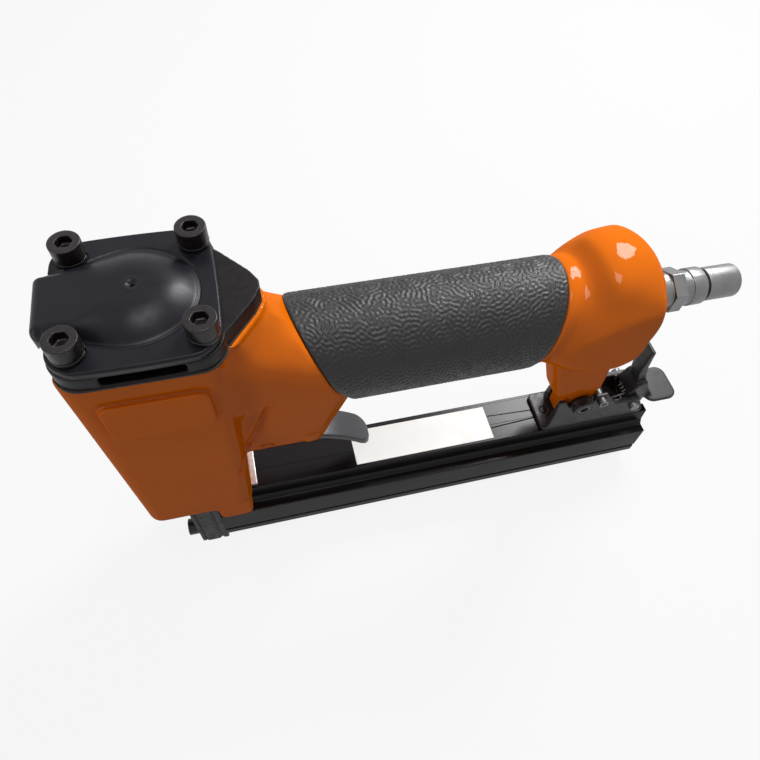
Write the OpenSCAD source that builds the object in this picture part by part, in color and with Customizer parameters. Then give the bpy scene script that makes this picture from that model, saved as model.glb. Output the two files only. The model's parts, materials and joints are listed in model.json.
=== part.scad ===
// Pneumatic upholstery stapler for fine wire staples.
// Frame: +X to the rear (air plug), +Z up, Y across. The origin lies on the work face of the nose,
// in the tool's middle plane, on the axis of the cylinder and the driver blade.

/* [Head] */
// Height of the casting from its seat on the magazine to the head gasket
body_h = 105; // [100:0.5:112]
// Reach of the head to the front of the cylinder axis, at the top
head_front = 22.8; // [21:0.2:26]
// Reach of the head to the rear of the cylinder axis, at the top
head_rear = 20; // [19:0.5:24]
// Half width of the head at the top
head_half_w = 21.2; // [20:0.2:24]
// Reach of the head to the front at its foot
head_low_front = 24.2; // [20:0.2:25]
// Reach of the head to the rear at its foot
head_low_rear = 15.5; // [15:0.25:17]
// Half width of the head at its foot
head_low_half_w = 17; // [15.5:0.5:19]
// Radius of the head's upright corners
head_corner_r = 5; // [4:0.5:8]
// Corner radius of the head at the rear, where the screws stand near the wall
head_rear_r = 5; // [4:0.5:6]
// Radius of the head's lower corners
head_foot_r = 5; // [3:0.5:6]

/* [Cap] */
// Spacing of the cap screws, both ways
screw_pitch = 32; // [31:0.5:34]
// Margin of the cap in front of its screws
cap_front_margin = 6.4; // [5.6:0.2:8]
// Margin of the cap behind its screws
cap_rear_margin = 4.9; // [4.6:0.1:6]
// Margin of the cap beside its screws
cap_side_margin = 6.6; // [5.8:0.1:7.4]
// Thickness of the cap's plate
cap_t = 2.2; // [1.6:0.2:3]
// Radius of the cap's dome
dome_r = 15.5; // [14:0.5:17]
// Rise of the dome above the cap's plate
dome_h = 4.3; // [3.4:0.1:5]
// Wall of the dome
dome_wall = 1.8; // [1.4:0.1:2.2]
// Half width of the exhaust hood
hood_half_w = 11.2; // [9:0.1:11.4]
// How far the hood's lip stands in front of the cap
hood_lip = 2.8; // [1.2:0.1:3.4]
// Thickness of the plate under the cap
head_plate_t = 5; // [5:0.25:8]
// Reach of the plate's tail to the rear of the cylinder axis
tail_reach = 31.5; // [29:0.5:34]
// Length of the vent window in the side of the plate
window_l = 21; // [14:1:22]
// Height of the vent window
window_h = 3.6; // [2.4:0.2:3.8]
// Thickness of the head gasket
gasket_t = 0.5; // [0.4:0.1:1]

/* [Cylinder] */
// Bore of the cylinder sleeve
sleeve_bore = 24; // [22:0.5:24.5]
// Wall of the cylinder sleeve
sleeve_wall = 1.5; // [1.2:0.1:1.6]
// Radial gap between the sleeve and the casting, the return air chamber
chamber_gap = 1.5; // [1.3:0.1:1.7]
// Stroke of the piston
stroke = 45; // [40:1:46]
// Height of the piston's head
piston_h = 11; // [10:0.5:12]
// Height of the piston's stem
stem_h = 11; // [9:0.5:12]
// Height of the rubber bumper
bumper_h = 13; // [12:0.5:13.4]
// Lift of the head valve
valve_lift = 2.4; // [1.6:0.1:2.5]

/* [Handle] */
// Depth of the handle's axis below the top of the casting
handle_drop = 28; // [26:0.5:30]
// Radius of the handle's cast core
core_r = 14.5; // [13.5:0.25:15]
// Radius of the air passage through the handle
air_r = 10.5; // [8.5:0.25:11]
// Outer radius of the rubber grip
grip_r = 18.5; // [17:0.25:19.5]
// Front end of the grip on its upper side
grip_front_top = 37.4; // [36:0.2:40]
// Front end of the grip on its lower side
grip_front_low = 53.4; // [50:0.2:56]
// Rear end of the grip on its upper side
grip_rear_top = 127.6; // [124:0.2:130]
// Rear end of the grip on its lower side
grip_rear_low = 114.1; // [110:0.1:118]
// Turn of the grip on its core, in degrees
grip_turn = 25; // [0:1:30]
// Rear end of the casting
body_rear = 163.5; // [163:0.5:167]
// Radius of the bulge behind the grip
bulge_r = 25; // [23:0.25:26]
// Half width of the bulge between its flat flanks
bulge_flat_w = 20.5; // [19.5:0.25:23]
// Front end of the lug that holds the bracket
lug_front = 142.5; // [138:0.5:145]
// Rear end of the lug
lug_rear = 164; // [162:0.5:166]
// Half width of the lug
lug_half_w = 6.4; // [6.1:0.1:7.5]

/* [Trigger] */
// Distance of the trigger's hinge from the cylinder axis
trigger_x = 25; // [24:0.5:27]
// Height of the trigger's hinge as a share of the handle's height above the magazine
trigger_share = 0.5065; // [0.48:0.0005:0.53]
// Distance of the trigger valve from the cylinder axis
valve_x = 38; // [37:0.5:39]
// Half width of the trigger
trigger_half_w = 6.2; // [5.6:0.1:8]
// Outer radius of the trigger's arch
arch_r = 50; // [46:1:56]
// Thickness of the trigger's arch
arch_t = 2.6; // [2:0.1:3.2]
// Rear end of the trigger
trigger_tip = 65; // [60:0.5:68]
// Side wall of the trigger housing
cheek_t = 5; // [4:0.1:5.6]
// Pin diameter of the trigger hinge
trigger_pin_d = 3; // [2.5:0.1:3.5]

/* [Nose] */
// How far the nose reaches below the magazine
nose_reach = 6; // [4:0.5:8]
// Thickness of the nose block in front of the driver channel
block_t = 7.9; // [7:0.1:10]
// Thickness of the nose front plate
front_plate_t = 2; // [1.5:0.1:3]
// Half width of the nose
nose_half_w = 14.6; // [13.8:0.1:15]
// Crown width of the staples
crown_w = 12.9; // [12:0.1:13.2]
// Thickness of the driver blade
blade_t = 1; // [0.8:0.05:1.1]

/* [Magazine] */
// Height of the magazine
magazine_h = 27; // [26:0.5:30]
// Rear end of the magazine
magazine_rear = 193.5; // [190:0.5:200]
// Half width of the magazine's flat top
top_half_w = 9.2; // [9:0.1:10]
// Half width of the magazine's skirt
skirt_half_w = 15.4; // [15:0.1:16.5]
// Depth of the skirt's shoulder below the top
shoulder_drop = 9; // [8:0.25:10]
// Thickness of the magazine's roof
roof_t = 2.6; // [2.4:0.1:3]
// Front end of the blank label
label_front = 59; // [50:1:70]
// Rear end of the blank label
label_rear = 120; // [100:1:128]
// Thickness of the blank label
label_t = 0.25; // [0.2:0.05:0.5]

/* [Drawer] */
// Length of the pusher
pusher_l = 22; // [18:0.5:26]
// Wire diameter of the pusher spring
pusher_wire = 0.6; // [0.5:0.05:0.7]
// Curls of the pusher spring
pusher_curls = 34; // [20:1:40]

/* [Bracket and latch] */
// Front end of the bracket's foot plate
bracket_front = 141.5; // [138:0.5:144]
// Thickness of the bracket's foot plate
foot_t = 2; // [1.6:0.1:2.6]
// Distance of the bracket bolt from the cylinder axis
bolt_x = 157; // [155:0.5:158]
// Height of the bracket bolt above the magazine
bolt_rise = 14.5; // [13:0.5:16]
// Thread diameter of the bracket bolt
bolt_d = 5; // [4:0.5:6]
// Distance of the latch pivot in front of the magazine's rear end
latch_inset = 9.5; // [9:0.25:11]
// Height of the latch pivot above the magazine
latch_rise = 7; // [6.5:0.25:8]
// Pin diameter of the latch
latch_pin_d = 4; // [3:0.25:4.5]
// Height of the latch arm above its pivot
arm_h = 33; // [28:1:36]
// Length of the latch paddle behind the magazine
paddle_l = 13; // [9:0.5:16]
// Half width of the latch paddle
paddle_half_w = 8.5; // [7:0.25:10]
// Wire diameter of the latch spring
latch_wire = 1; // [0.8:0.1:1.1]
// Curls of the latch spring
latch_curls = 3.75; // [1.75:1:3.75]

/* [Air plug] */
// Length of the plug's shank between the casting and the hexagon
shank_l = 5.2; // [3:0.1:9]
// Width across the flats of the plug's hexagon
hex_af = 14; // [13.5:0.5:17]
// Length of the hexagon
hex_l = 4.7; // [4:0.1:8]
// Length of the barrel between the hexagon and the collar
barrel_l = 3.3; // [2:0.1:6]
// Diameter of the barrel
barrel_d = 12.4; // [12:0.1:13]
// Length of the collar
collar_l = 5.2; // [4:0.1:8]
// Diameter of the collar
collar_d = 13.4; // [13:0.1:14]
// Length of the plug's neck and tip behind the collar
tip_l = 14.5; // [12:0.5:17]
// Diameter of the plug's tip
tip_d = 12; // [11:0.25:12.5]
// Bore of the plug
plug_bore = 6.5; // [5:0.25:7]

/* [Hidden] */
$fn = 64;
// Facets round the parts that are rounded over
hull_fn = 32;
bulge_fn = 48;
// Overrun of every cut
over = 1;
// Free gap between fixed pieces
seat_gap = 0.05;
// Running gap of a sliding fit
run_gap = 0.06;
// Gap that keeps moving pieces apart
move_gap = 0.4;

// Colours
orange = [0.86, 0.36, 0.02];
black = [0.07, 0.07, 0.08];
rubber = [0.09, 0.09, 0.09];
dark_grey = [0.28, 0.28, 0.30];
steel = [0.62, 0.62, 0.62];
bright = [0.75, 0.75, 0.74];
brass = [0.72, 0.58, 0.28];
alloy = [0.70, 0.70, 0.72];
white = [0.93, 0.93, 0.92];

// Heights of the stack
mag_top = nose_reach + magazine_h;
body_low = mag_top;
body_top = body_low + body_h;
gasket_top = body_top + gasket_t;
plate_top = gasket_top + head_plate_t;
cap_top = plate_top + cap_t;
handle_z = body_top - handle_drop;

// Cap and its screws
screw_at = screw_pitch / 2;
cap_front = screw_at + cap_front_margin;
cap_rear = screw_at + cap_rear_margin;
cap_half_w = screw_at + cap_side_margin;
cap_corner_r = 7.5;
screw_r = 2.5;
screw_head_r = 4.25;
screw_head_h = 5;
screw_reach = 10;
socket_af = 4;
socket_depth = 2.6;
washer_r = 4.3;
washer_t = 1.3;
washer_split = 0.8;
hood_h = 3.9;
hood_front_h = 2.2;
hood_drop = 5;
hood_edge_r = 2;
dome_edge_r = 2.6;
dome_steps = 6;
dimple_r = 1.1;
tail_shares = [[0.68, 0.68], [0.93, 0.255], [1, 0.075]];
window_depth = 5;
window_low = 0.7;

// Cylinder, piston and head valve
bore_r = sleeve_bore / 2;
sleeve_r = bore_r + sleeve_wall;
chamber_r = sleeve_r + chamber_gap;
sleeve_drop = 3.5;
sleeve_top = body_top - sleeve_drop;
piston_drop = 2;
piston_top = sleeve_top - piston_drop;
piston_low = piston_top - piston_h;
stop_gap = 0.5;
floor_z = piston_low - stroke - stop_gap - bumper_h;
flange_h = 5;
ring_wire_r = 0.9;
ring_squeeze = 0.05;
port_r = 1.2;
port_count = 6;
port_turn_share = 0.5;
stem_r = 7.5;
stem_gap = 0.8;
blade_grip_share = 0.8;
driver_pin_r = 1.25;
blade_half_w = crown_w / 2 - run_gap;
slot_gap = 0.15;
slot_half_t = blade_t / 2 + slot_gap;
slot_half_w = crown_w / 2 + slot_gap;
nose_clear = 0.2;
seal_t = 1.2;
seal_lip = 0.9;
valve_r = sleeve_r - run_gap;
valve_bore_r = valve_r + run_gap;
valve_low = sleeve_top + seat_gap + seal_t;
valve_h = plate_top - stop_gap - valve_lift - valve_low;
valve_cup_r = 8.5;
valve_floor = 2.2;
head_wire_r = 0.4;
head_curls = 4;
dome_top = cap_top + dome_h;
dome_roof = dome_top - dome_wall;

// Handle, bulge and lug
// Discs of the bulge from the grip to the plug: share of the length, share of the radius, lean in degrees
bulge_shares = [[0.26, 0.885, 17.5], [0.464, 0.976, 16.7], [0.634, 1, 15.6],
    [0.73, 0.88, 12], [0.8, 0.68, 8], [0.995, 0.34, 0]];
// Length of the bulge that the leans above and the discs' thickness belong to
bulge_base_l = 42.65;
bulge_rise = 1;
bulge_corner_r = 5;
disc_t = 0.2;
neck_half_w = 14;
neck_top_r = 3.4;
neck_low_drop = 36;
collar_step = 0.3;
collar_r = grip_r - collar_step;
collar_t = 2;
thread_r = 6.5;
thread_l = 13;
air_stop = 3;
lug_top_drop = 14;
lug_low_rise = 21.5;
lug_lean = 6;
lug_spread = 4;
lug_edge_r = 2.5;
tongue_front_l = 7;
tongue_rear_l = 6;
tongue_front = bolt_x - tongue_front_l;
tongue_rear = bolt_x + tongue_rear_l;
tongue_low = mag_top + foot_t + move_gap;
tongue_half_w = 5.4;
tab_front = 1.2;
tab_rear = 14.5;
tab_drop = 6.2;
tab_gap = 0.3;
tab_edge_r = 3;
panel_front = -15.5;
panel_rear = 13.5;
panel_low_drop = 27;
panel_top_drop = 10;
panel_raise = 0.9;
panel_r = 3;

// Trigger and its valve
trigger_z = mag_top + trigger_share * (handle_z - mag_top);
cheek_gap = 0.35;
slot_w = trigger_half_w + cheek_gap;
housing_half_w = slot_w + cheek_t;
housing_drop = 4.4;
housing_low = trigger_z - housing_drop;
housing_tail = 7;
housing_rear = valve_x + housing_tail;
housing_front = 8;
slot_room = 5.2;
slot_front = trigger_x - slot_room;
slot_rise = 5;
slot_roof = trigger_z + slot_rise;
trigger_boss_r = 3.6;
trigger_pin_r = trigger_pin_d / 2;
arch_shift = 2;
arch_drop = 7;
arch_x = trigger_x + arch_shift;
arch_z = trigger_z - arch_drop - arch_r;
tip_round = 5;
bushing_r = 6;
bushing_flange_r = slot_w - 2 * seat_gap;
bushing_flange_t = 2;
bushing_sink = 2;
bushing_top = handle_z - air_r - bushing_sink;
bushing_h = bushing_top - slot_roof;
bushing_floor_share = 0.195;
bushing_floor = bushing_floor_share * bushing_h;
stem_pin_r = 1.6;
stem_head_r = 3.2;
stem_head_share = 0.146;
stem_head_h = stem_head_share * bushing_h;
bushing_hollow_r = 4.2;
valve_wire_r = 0.3;
valve_curls = 5;

// Nose
block_front = -slot_half_t - block_t;
block_rear = slot_half_t;
plate_front = block_front - front_plate_t;
plate_low = 0.6;
m4_r = 2;
m4_head_r = 3.5;
m4_head_h = 4;
m4_socket_af = 3;
m4_socket_depth = 2;
front_screw_y = 10.6;
front_screw_z = 10;
front_screw_l = 7;
nose_bolt_y = 10.4;
nose_bolt_x = (block_front + block_rear) / 2;
nose_bolt_share = 0.467;
nose_bolt_up = nose_bolt_share * (floor_z - body_low);
nose_bolt_in = 6;

// Magazine and drawer
mag_front = block_rear + seat_gap;
mag_low = nose_reach;
mag_roof = mag_top - roof_t;
flank_lean = 0.6;
flank_drop = 6.5;
shoulder_half_w = 11.2;
skirt_lean = 0.5;
groove_h = 1.2;
groove_depth = 0.8;
groove_rise = 4;
channel_gap = 0.3;
channel_half_w = crown_w / 2 + channel_gap;
runner_half_w = 12;
runner_t = 3;
runner_rise = 2;
runner_gap = 0.3;
lip_half_w = 8.5;
runner_low = mag_low + runner_rise;
runner_top = runner_low + runner_t;
core_half_w = 5.2;
core_wall = 1.5;
crown_room = 1.5;
core_top = mag_roof - crown_room;
core_inset = 0.5;
core_front = mag_front + core_inset;
end_l = 15;
end_inset = 1;
end_front = magazine_rear - end_inset - end_l;
end_rear = magazine_rear - end_inset;
end_room = 0.6;
end_top = mag_roof - end_room;
notch_l = 10;
notch_half_w = 5.4;
rod_r = 1.25;
rod_rise = 6.5;
rod_z0 = runner_top + rod_rise;
web_l = 3;
web_inset = 3;
web_front = mag_front + web_inset;
pusher_inset = 2;
pusher_front = mag_front + pusher_inset;
pusher_rise = 3;
pusher_low = runner_top + pusher_rise;
pusher_slack = 0.2;
pusher_half_w = crown_w / 2 - pusher_slack;
tongue_w = core_half_w - core_wall - runner_gap;
tongue_l = 9;
tongue_inset = 10;
pusher_spring_r = 2.3;
rivet_r = 1.2;
rivet_spread = 8;
seat_front = 3;
seat_rear = 17.6;
seat_half_w = 8;
seat_t = 1.5;
m3_r = 1.5;
m3_head_r = 2.9;
m3_head_h = 1.6;
m3_up = 9;
mag_screw_x = [7, 13.5];
label_half_w = 7.9;

// Bracket, latch and its spring
ear_gap = 0.3;
ear_in = tongue_half_w + ear_gap;
ear_inset = 0.2;
ear_out = top_half_w - ear_inset;
bracket_inset = 2.5;
bracket_rear = magazine_rear - bracket_inset;
bolt_z = mag_top + bolt_rise;
boss_r = 4.6;
boss_proud = 1.2;
ear_top_w = 7.2;
foot_corner_r = 2;
boss_out = ear_out + boss_proud;
boss_in = ear_in + seat_gap;
bolt_head_r = 3.4;
bolt_head_h = 2.4;
bolt_socket_af = 3;
pin_behind = 8.6;
pin_rise = 16;
bracket_pin_x = bolt_x + pin_behind;
bracket_pin_z = mag_top + pin_rise;
bracket_pin_r = 2;
bracket_pin_bore = 1.1;
latch_x = magazine_rear - latch_inset;
latch_z = mag_top + latch_rise;
latch_pin_r = latch_pin_d / 2;
latch_boss_r = 4.6;
cheek_inset = 0.3;
cheek_w = 1.1;
cheek_out = ear_in - cheek_inset;
cheek_in = cheek_out - cheek_w;
coil_gap = 0.5;
curl_gap = 0.7;
coil_r = latch_pin_r + latch_wire / 2 + coil_gap;
coil_pitch = latch_wire + curl_gap;
coil_room_r = latch_boss_r + coil_gap;
coil_start_deg = 200;
leg_front_l = 20;
leg_rear_l = 10;
hook_behind = 6;
hook_l = 2.6;
hook_half_w = 4.4;
hook_x = latch_x + hook_behind;
hook_gap = 0.6;
hook_low = end_top + hook_gap;
paddle_t = 1.6;
paddle_drop = 1.5;
paddle_front = bracket_rear + move_gap;
root_shares = [[-0.1, 0.1], [-0.006, 0.31], [0.106, 0.38], [0.15, 0.26], [0.22, 0.14], [0.3, 0.04],
    [0.3, -0.04]];
arm_shares = [[0.02, 0.24], [-0.06, 0.5], [-0.079, 0.64], [-0.082, 0.8], [-0.082, 1], [-0.033, 1],
    [-0.015, 0.85], [0.012, 0.66], [0.045, 0.54], [0.106, 0.38], [0.12, 0.3]];
arm_half_w = 3.5;
bracket_screw_in = [4.5, 30];

// Air plug
washer_l = 0.8;
plug_washer_r = 8.5;
shank_front = body_rear + washer_l;
hex_front = shank_front + shank_l;
hex_rear = hex_front + hex_l;
barrel_rear = hex_rear + barrel_l;
collar_rear = barrel_rear + collar_l;
neck_l = 1.5;
neck_cut = 1.2;
tip_edge = 1;
tip_rear = collar_rear + tip_l;

// Bars and blocks between two places
module rod_x(r, x0, x1, y, z) { translate([x0, y, z]) rotate([0, 90, 0]) cylinder(r = r, h = x1 - x0); }
module rod_y(r, x, y0, y1, z) { translate([x, y1, z]) rotate([90, 0, 0]) cylinder(r = r, h = y1 - y0); }
module rod_z(r, x, y, z0, z1) { translate([x, y, z0]) cylinder(r = r, h = z1 - z0); }
module block(x0, x1, y0, y1, z0, z1) { translate([x0, y0, z0]) cube([x1 - x0, y1 - y0, z1 - z0]); }

// Flat plate with round upright corners
module round_plate(x0, x1, half_w, z0, z1, r) {
    block(x0 + r, x1 - r, -half_w, half_w, z0, z1);
    block(x0, x1, r - half_w, half_w - r, z0, z1);
    for (x = [x0 + r, x1 - r], y = [r - half_w, half_w - r])
        rod_z(r, x, y, z0, z1);
}

// Outline in the middle plane, drawn as X and Z, given a width across the tool
module side_plate(y0, y1) { translate([0, y1, 0]) rotate([90, 0, 0]) linear_extrude(y1 - y0) children(); }

// Section across the tool, drawn as Y and Z, carried along X
module run_along(x0, x1) { translate([x0, 0, 0]) rotate([90, 0, 90]) linear_extrude(x1 - x0) children(); }

// Profile of radius and place, turned about a line along X or Z
module turn_x(z) { translate([0, 0, z]) rotate([0, 90, 0]) rotate_extrude() children(); }
module ring_z(r, wire_r, z) {
    translate([0, 0, z]) rotate_extrude() translate([r, 0]) circle(r = wire_r, $fn = hull_fn);
}

// Hexagon given across its flats
module hexagon(af, h) { cylinder(r = af / 2 / cos(30), h = h, $fn = 6); }

// Socket screw along +Z: its head's top is at zero and its shank reaches down
module socket_screw(r, head_r, head_h, reach, af, depth) {
    difference() {
        union() {
            translate([0, 0, -head_h]) cylinder(r = head_r, h = head_h);
            translate([0, 0, -head_h - reach]) cylinder(r = r, h = reach + head_h);
        }
        translate([0, 0, -depth]) hexagon(af, depth + over);
    }
}

// Wound wire: points along a coil about Z with straight ends, each with its outward direction
rings_per_curl = 8;
wire_sides = 6;
function coil_at(r, pitch, i) =
    [r * cos(360 * i / rings_per_curl), r * sin(360 * i / rings_per_curl), pitch * i / rings_per_curl];
function coil_out(i) = [cos(360 * i / rings_per_curl), sin(360 * i / rings_per_curl), 0];
function coil_along(i) = [-sin(360 * i / rings_per_curl), cos(360 * i / rings_per_curl), 0];
function coil_line(r, pitch, curls, lead, tail) =
    let (last = curls * rings_per_curl)
    concat([coil_at(r, pitch, 0) - lead * coil_along(0)],
        [for (i = [0 : last]) coil_at(r, pitch, i)],
        [coil_at(r, pitch, last) + tail * coil_along(last)]);
function coil_outs(curls) =
    let (last = curls * rings_per_curl)
    concat([coil_out(0)], [for (i = [0 : last]) coil_out(i)], [coil_out(last)]);
function unit(v) = v / norm(v);
function along(line, i) = unit(line[min(i + 1, len(line) - 1)] - line[max(i - 1, 0)]);
function wire_ring(line, outs, r, i) =
    let (side = unit(cross(along(line, i), outs[i])))
    [for (k = [0 : wire_sides - 1])
        line[i] + r * cos(360 * k / wire_sides) * outs[i] + r * sin(360 * k / wire_sides) * side];
function wire_gap(line, r) =
    min([for (i = [0 : len(line) - 1], j = [i + rings_per_curl - 1 : len(line) - 1])
        norm(line[i] - line[j])]) - 2 * r;

module wire(line, outs, r) {
    n = len(line);
    s = wire_sides;
    points = [for (i = [0 : n - 1]) each wire_ring(line, outs, r, i)];
    sides = [for (i = [0 : n - 2], k = [0 : s - 1], half = [0, 1])
        let (a = i * s + k, b = i * s + (k + 1) % s)
        half == 0 ? [a, b, a + s] : [b, b + s, a + s]];
    ends = [for (k = [1 : s - 2], half = [0, 1])
        half == 0 ? [0, k + 1, k] : [(n - 1) * s, (n - 1) * s + k, (n - 1) * s + k + 1]];
    polyhedron(points = points, faces = concat(sides, ends));
}

module coil_spring(name, r, wire_r, length, curls, lead, tail) {
    pitch = (length - 2 * wire_r) / curls;
    line = coil_line(r, pitch, curls, lead, tail);
    echo(str(name, " least gap ", wire_gap(line, wire_r)));
    translate([0, 0, wire_r]) wire(line, coil_outs(curls), wire_r);
}

// Casting: the head with its upright corners and rounded foot
module head_form() {
    hull() {
        for (s = [-1, 1]) {
            translate([head_corner_r - head_front, s * (head_half_w - head_corner_r), body_top - over])
                cylinder(r = head_corner_r, h = over, $fn = hull_fn);
            translate([head_rear - head_rear_r, s * (head_half_w - head_rear_r), body_top - over])
                cylinder(r = head_rear_r, h = over, $fn = hull_fn);
        }
        for (x = [head_foot_r - head_low_front, head_low_rear - head_foot_r], s = [-1, 1])
            translate([x, s * (head_low_half_w - head_foot_r), body_low + head_foot_r])
                sphere(r = head_foot_r, $fn = hull_fn);
    }
}

// Casting: the neck between the head and the grip, under the tail of the head plate
front_slant = atan2(grip_front_low - grip_front_top, 2 * grip_r);
rear_slant = atan2(grip_rear_low - grip_rear_top, 2 * grip_r);
grip_front = (grip_front_low + grip_front_top) / 2;
grip_rear = (grip_rear_low + grip_rear_top) / 2;
module slanted(x, slant) { translate([x, 0, handle_z]) rotate([0, 90 - slant, 0]) children(); }
module grip_end(x, slant) {
    translate([x, 0, handle_z]) rotate([-grip_turn, 0, 0]) rotate([0, 90 - slant, 0]) children();
}

module past_grip() {
    grip_end(grip_front - seat_gap, front_slant) cylinder(r = 2 * grip_r, h = 2 * grip_r);
}
module grip_collar() {
    grip_end(grip_front - collar_t, front_slant)
        cylinder(r = collar_r, h = collar_t - seat_gap, $fn = hull_fn);
}

module neck_form() {
    low_y = neck_half_w - neck_top_r;
    hull() {
        rod_z(neck_top_r, tail_reach - neck_top_r, 0, body_top - over, body_top, $fn = hull_fn);
        for (s = [-1, 1]) {
            translate([head_low_rear - neck_half_w, s * neck_half_w, body_top - 2 * over])
                cylinder(r = neck_top_r, h = over, $fn = hull_fn);
            translate([head_low_rear - neck_half_w, s * low_y, body_top - neck_low_drop])
                sphere(r = neck_top_r, $fn = hull_fn);
        }
        grip_collar();
    }
}

// Casting: the housing of the trigger and its valve
module housing_form() {
    hull() {
        for (s = [-1, 1]) {
            for (x = [housing_front, housing_rear - tab_edge_r])
                translate([x, s * (housing_half_w - tab_edge_r), housing_low + tab_edge_r])
                    sphere(r = tab_edge_r, $fn = hull_fn);
            translate([housing_front, s * (housing_half_w - tab_edge_r), handle_z])
                sphere(r = tab_edge_r, $fn = hull_fn);
        }
        grip_collar();
    }
}

// Casting: the handle's core and the bulge behind the grip, with flat flanks and a flat underside
module bulge_section() {
    low = handle_z - grip_r;
    corner = bulge_flat_w - bulge_corner_r;
    translate([-bulge_flat_w, low + bulge_corner_r]) square([2 * bulge_flat_w, 2 * bulge_r]);
    translate([-corner, low]) square([2 * corner, 2 * bulge_r]);
    for (s = [-1, 1]) translate([s * corner, low + bulge_corner_r]) circle(r = bulge_corner_r);
}
module handle_form() {
    bulge_l = body_rear - grip_rear;
    length_share = bulge_l / bulge_base_l;
    rod_x(core_r, 0, body_rear - thread_l, 0, handle_z);
    intersection() {
        hull() {
            grip_end(grip_rear + seat_gap, rear_slant) cylinder(r = collar_r, h = disc_t, $fn = bulge_fn);
            for (p = bulge_shares)
                translate([0, 0, bulge_rise])
                    slanted(grip_rear + p[0] * bulge_l, -p[2] * length_share)
                        cylinder(r = bulge_r * p[1], h = disc_t * length_share, $fn = bulge_fn);
        }
        run_along(0, 2 * body_rear) bulge_section();
    }
}

// Casting: the lug under the bulge, and the tongue that goes into the bracket
module lug_form() {
    hull()
        for (s = [-1, 1]) {
            for (x = [lug_front + lug_edge_r, lug_rear - lug_edge_r])
                translate([x, s * (lug_half_w - lug_edge_r), mag_top + lug_low_rise + lug_edge_r])
                    sphere(r = lug_edge_r, $fn = hull_fn);
            for (x = [lug_front - lug_lean - lug_spread, lug_rear - lug_lean])
                translate([x, s * (lug_half_w - lug_edge_r), handle_z - lug_top_drop])
                    sphere(r = lug_edge_r, $fn = hull_fn);
        }
    block(tongue_front, tongue_rear, -tongue_half_w, tongue_half_w,
        tongue_low, mag_top + lug_low_rise + lug_edge_r);
}

// Casting: the two tabs beside the magazine's top
module tab_form() {
    tab_in = top_half_w + flank_lean + tab_gap;
    for (s = [-1, 1])
        side_plate(s < 0 ? -head_low_half_w : tab_in, s < 0 ? -tab_in : head_low_half_w) {
            translate([tab_front, mag_top - tab_drop + tab_edge_r])
                square([tab_rear - tab_front, tab_drop + head_foot_r - tab_edge_r]);
            translate([tab_front + tab_edge_r, mag_top - tab_drop])
                square([tab_rear - tab_front - 2 * tab_edge_r, tab_edge_r]);
            for (x = [tab_front + tab_edge_r, tab_rear - tab_edge_r])
                translate([x, mag_top - tab_drop + tab_edge_r]) circle(r = tab_edge_r);
        }
}

// Casting: the raised blank panels on both sides of the head
module panel_form() {
    side_plate(-head_half_w - panel_raise, head_half_w + panel_raise) {
        low = body_top - panel_low_drop;
        top = body_top - panel_top_drop;
        translate([panel_front + panel_r, low]) square([panel_rear - panel_front - 2 * panel_r, top - low]);
        translate([panel_front, low + panel_r]) square([panel_rear - panel_front, top - low - 2 * panel_r]);
        for (x = [panel_front + panel_r, panel_rear - panel_r], z = [low + panel_r, top - panel_r])
            translate([x, z]) circle(r = panel_r);
    }
}

module main_body() {
    color(orange) difference() {
        union() {
            head_form();
            difference() {
                union() {
                    neck_form();
                    housing_form();
                }
                past_grip();
            }
            handle_form();
            lug_form();
            tab_form();
            panel_form();
        }
        rod_z(chamber_r, 0, 0, floor_z, body_top + over);
        rod_x(air_r, 0, body_rear - thread_l - air_stop, 0, handle_z);
        rod_x(thread_r, 0, body_rear + over, 0, handle_z);
        block(-slot_half_t, slot_half_t, -slot_half_w, slot_half_w, body_low - over, floor_z + over);
        block(slot_front, trigger_tip, -slot_w, slot_w, body_low + over, slot_roof);
        rod_z(bushing_r + seat_gap, valve_x, 0, slot_roof - over, handle_z);
        rod_y(trigger_pin_r + seat_gap, trigger_x,
            -housing_half_w - over, housing_half_w + over, trigger_z);
        for (x = [-screw_at, screw_at], y = [-screw_at, screw_at])
            rod_z(screw_r + seat_gap, x, y, body_top - screw_reach, body_top + over);
        for (y = [-nose_bolt_y, nose_bolt_y])
            rod_z(m4_r + seat_gap, nose_bolt_x, y, body_low - over, body_low + nose_bolt_up + over);
        for (x = mag_screw_x)
            rod_z(m3_r + seat_gap, x, 0, body_low - over, body_low + m3_up);
        block(seat_front - seat_gap, head_rear + over, -seat_half_w - seat_gap, seat_half_w + seat_gap,
            body_low - over, body_low + seat_t + seat_gap);
        rod_y(bolt_d / 2 + seat_gap, bolt_x, -lug_half_w - over, lug_half_w + over, bolt_z);
    }
}

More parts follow.
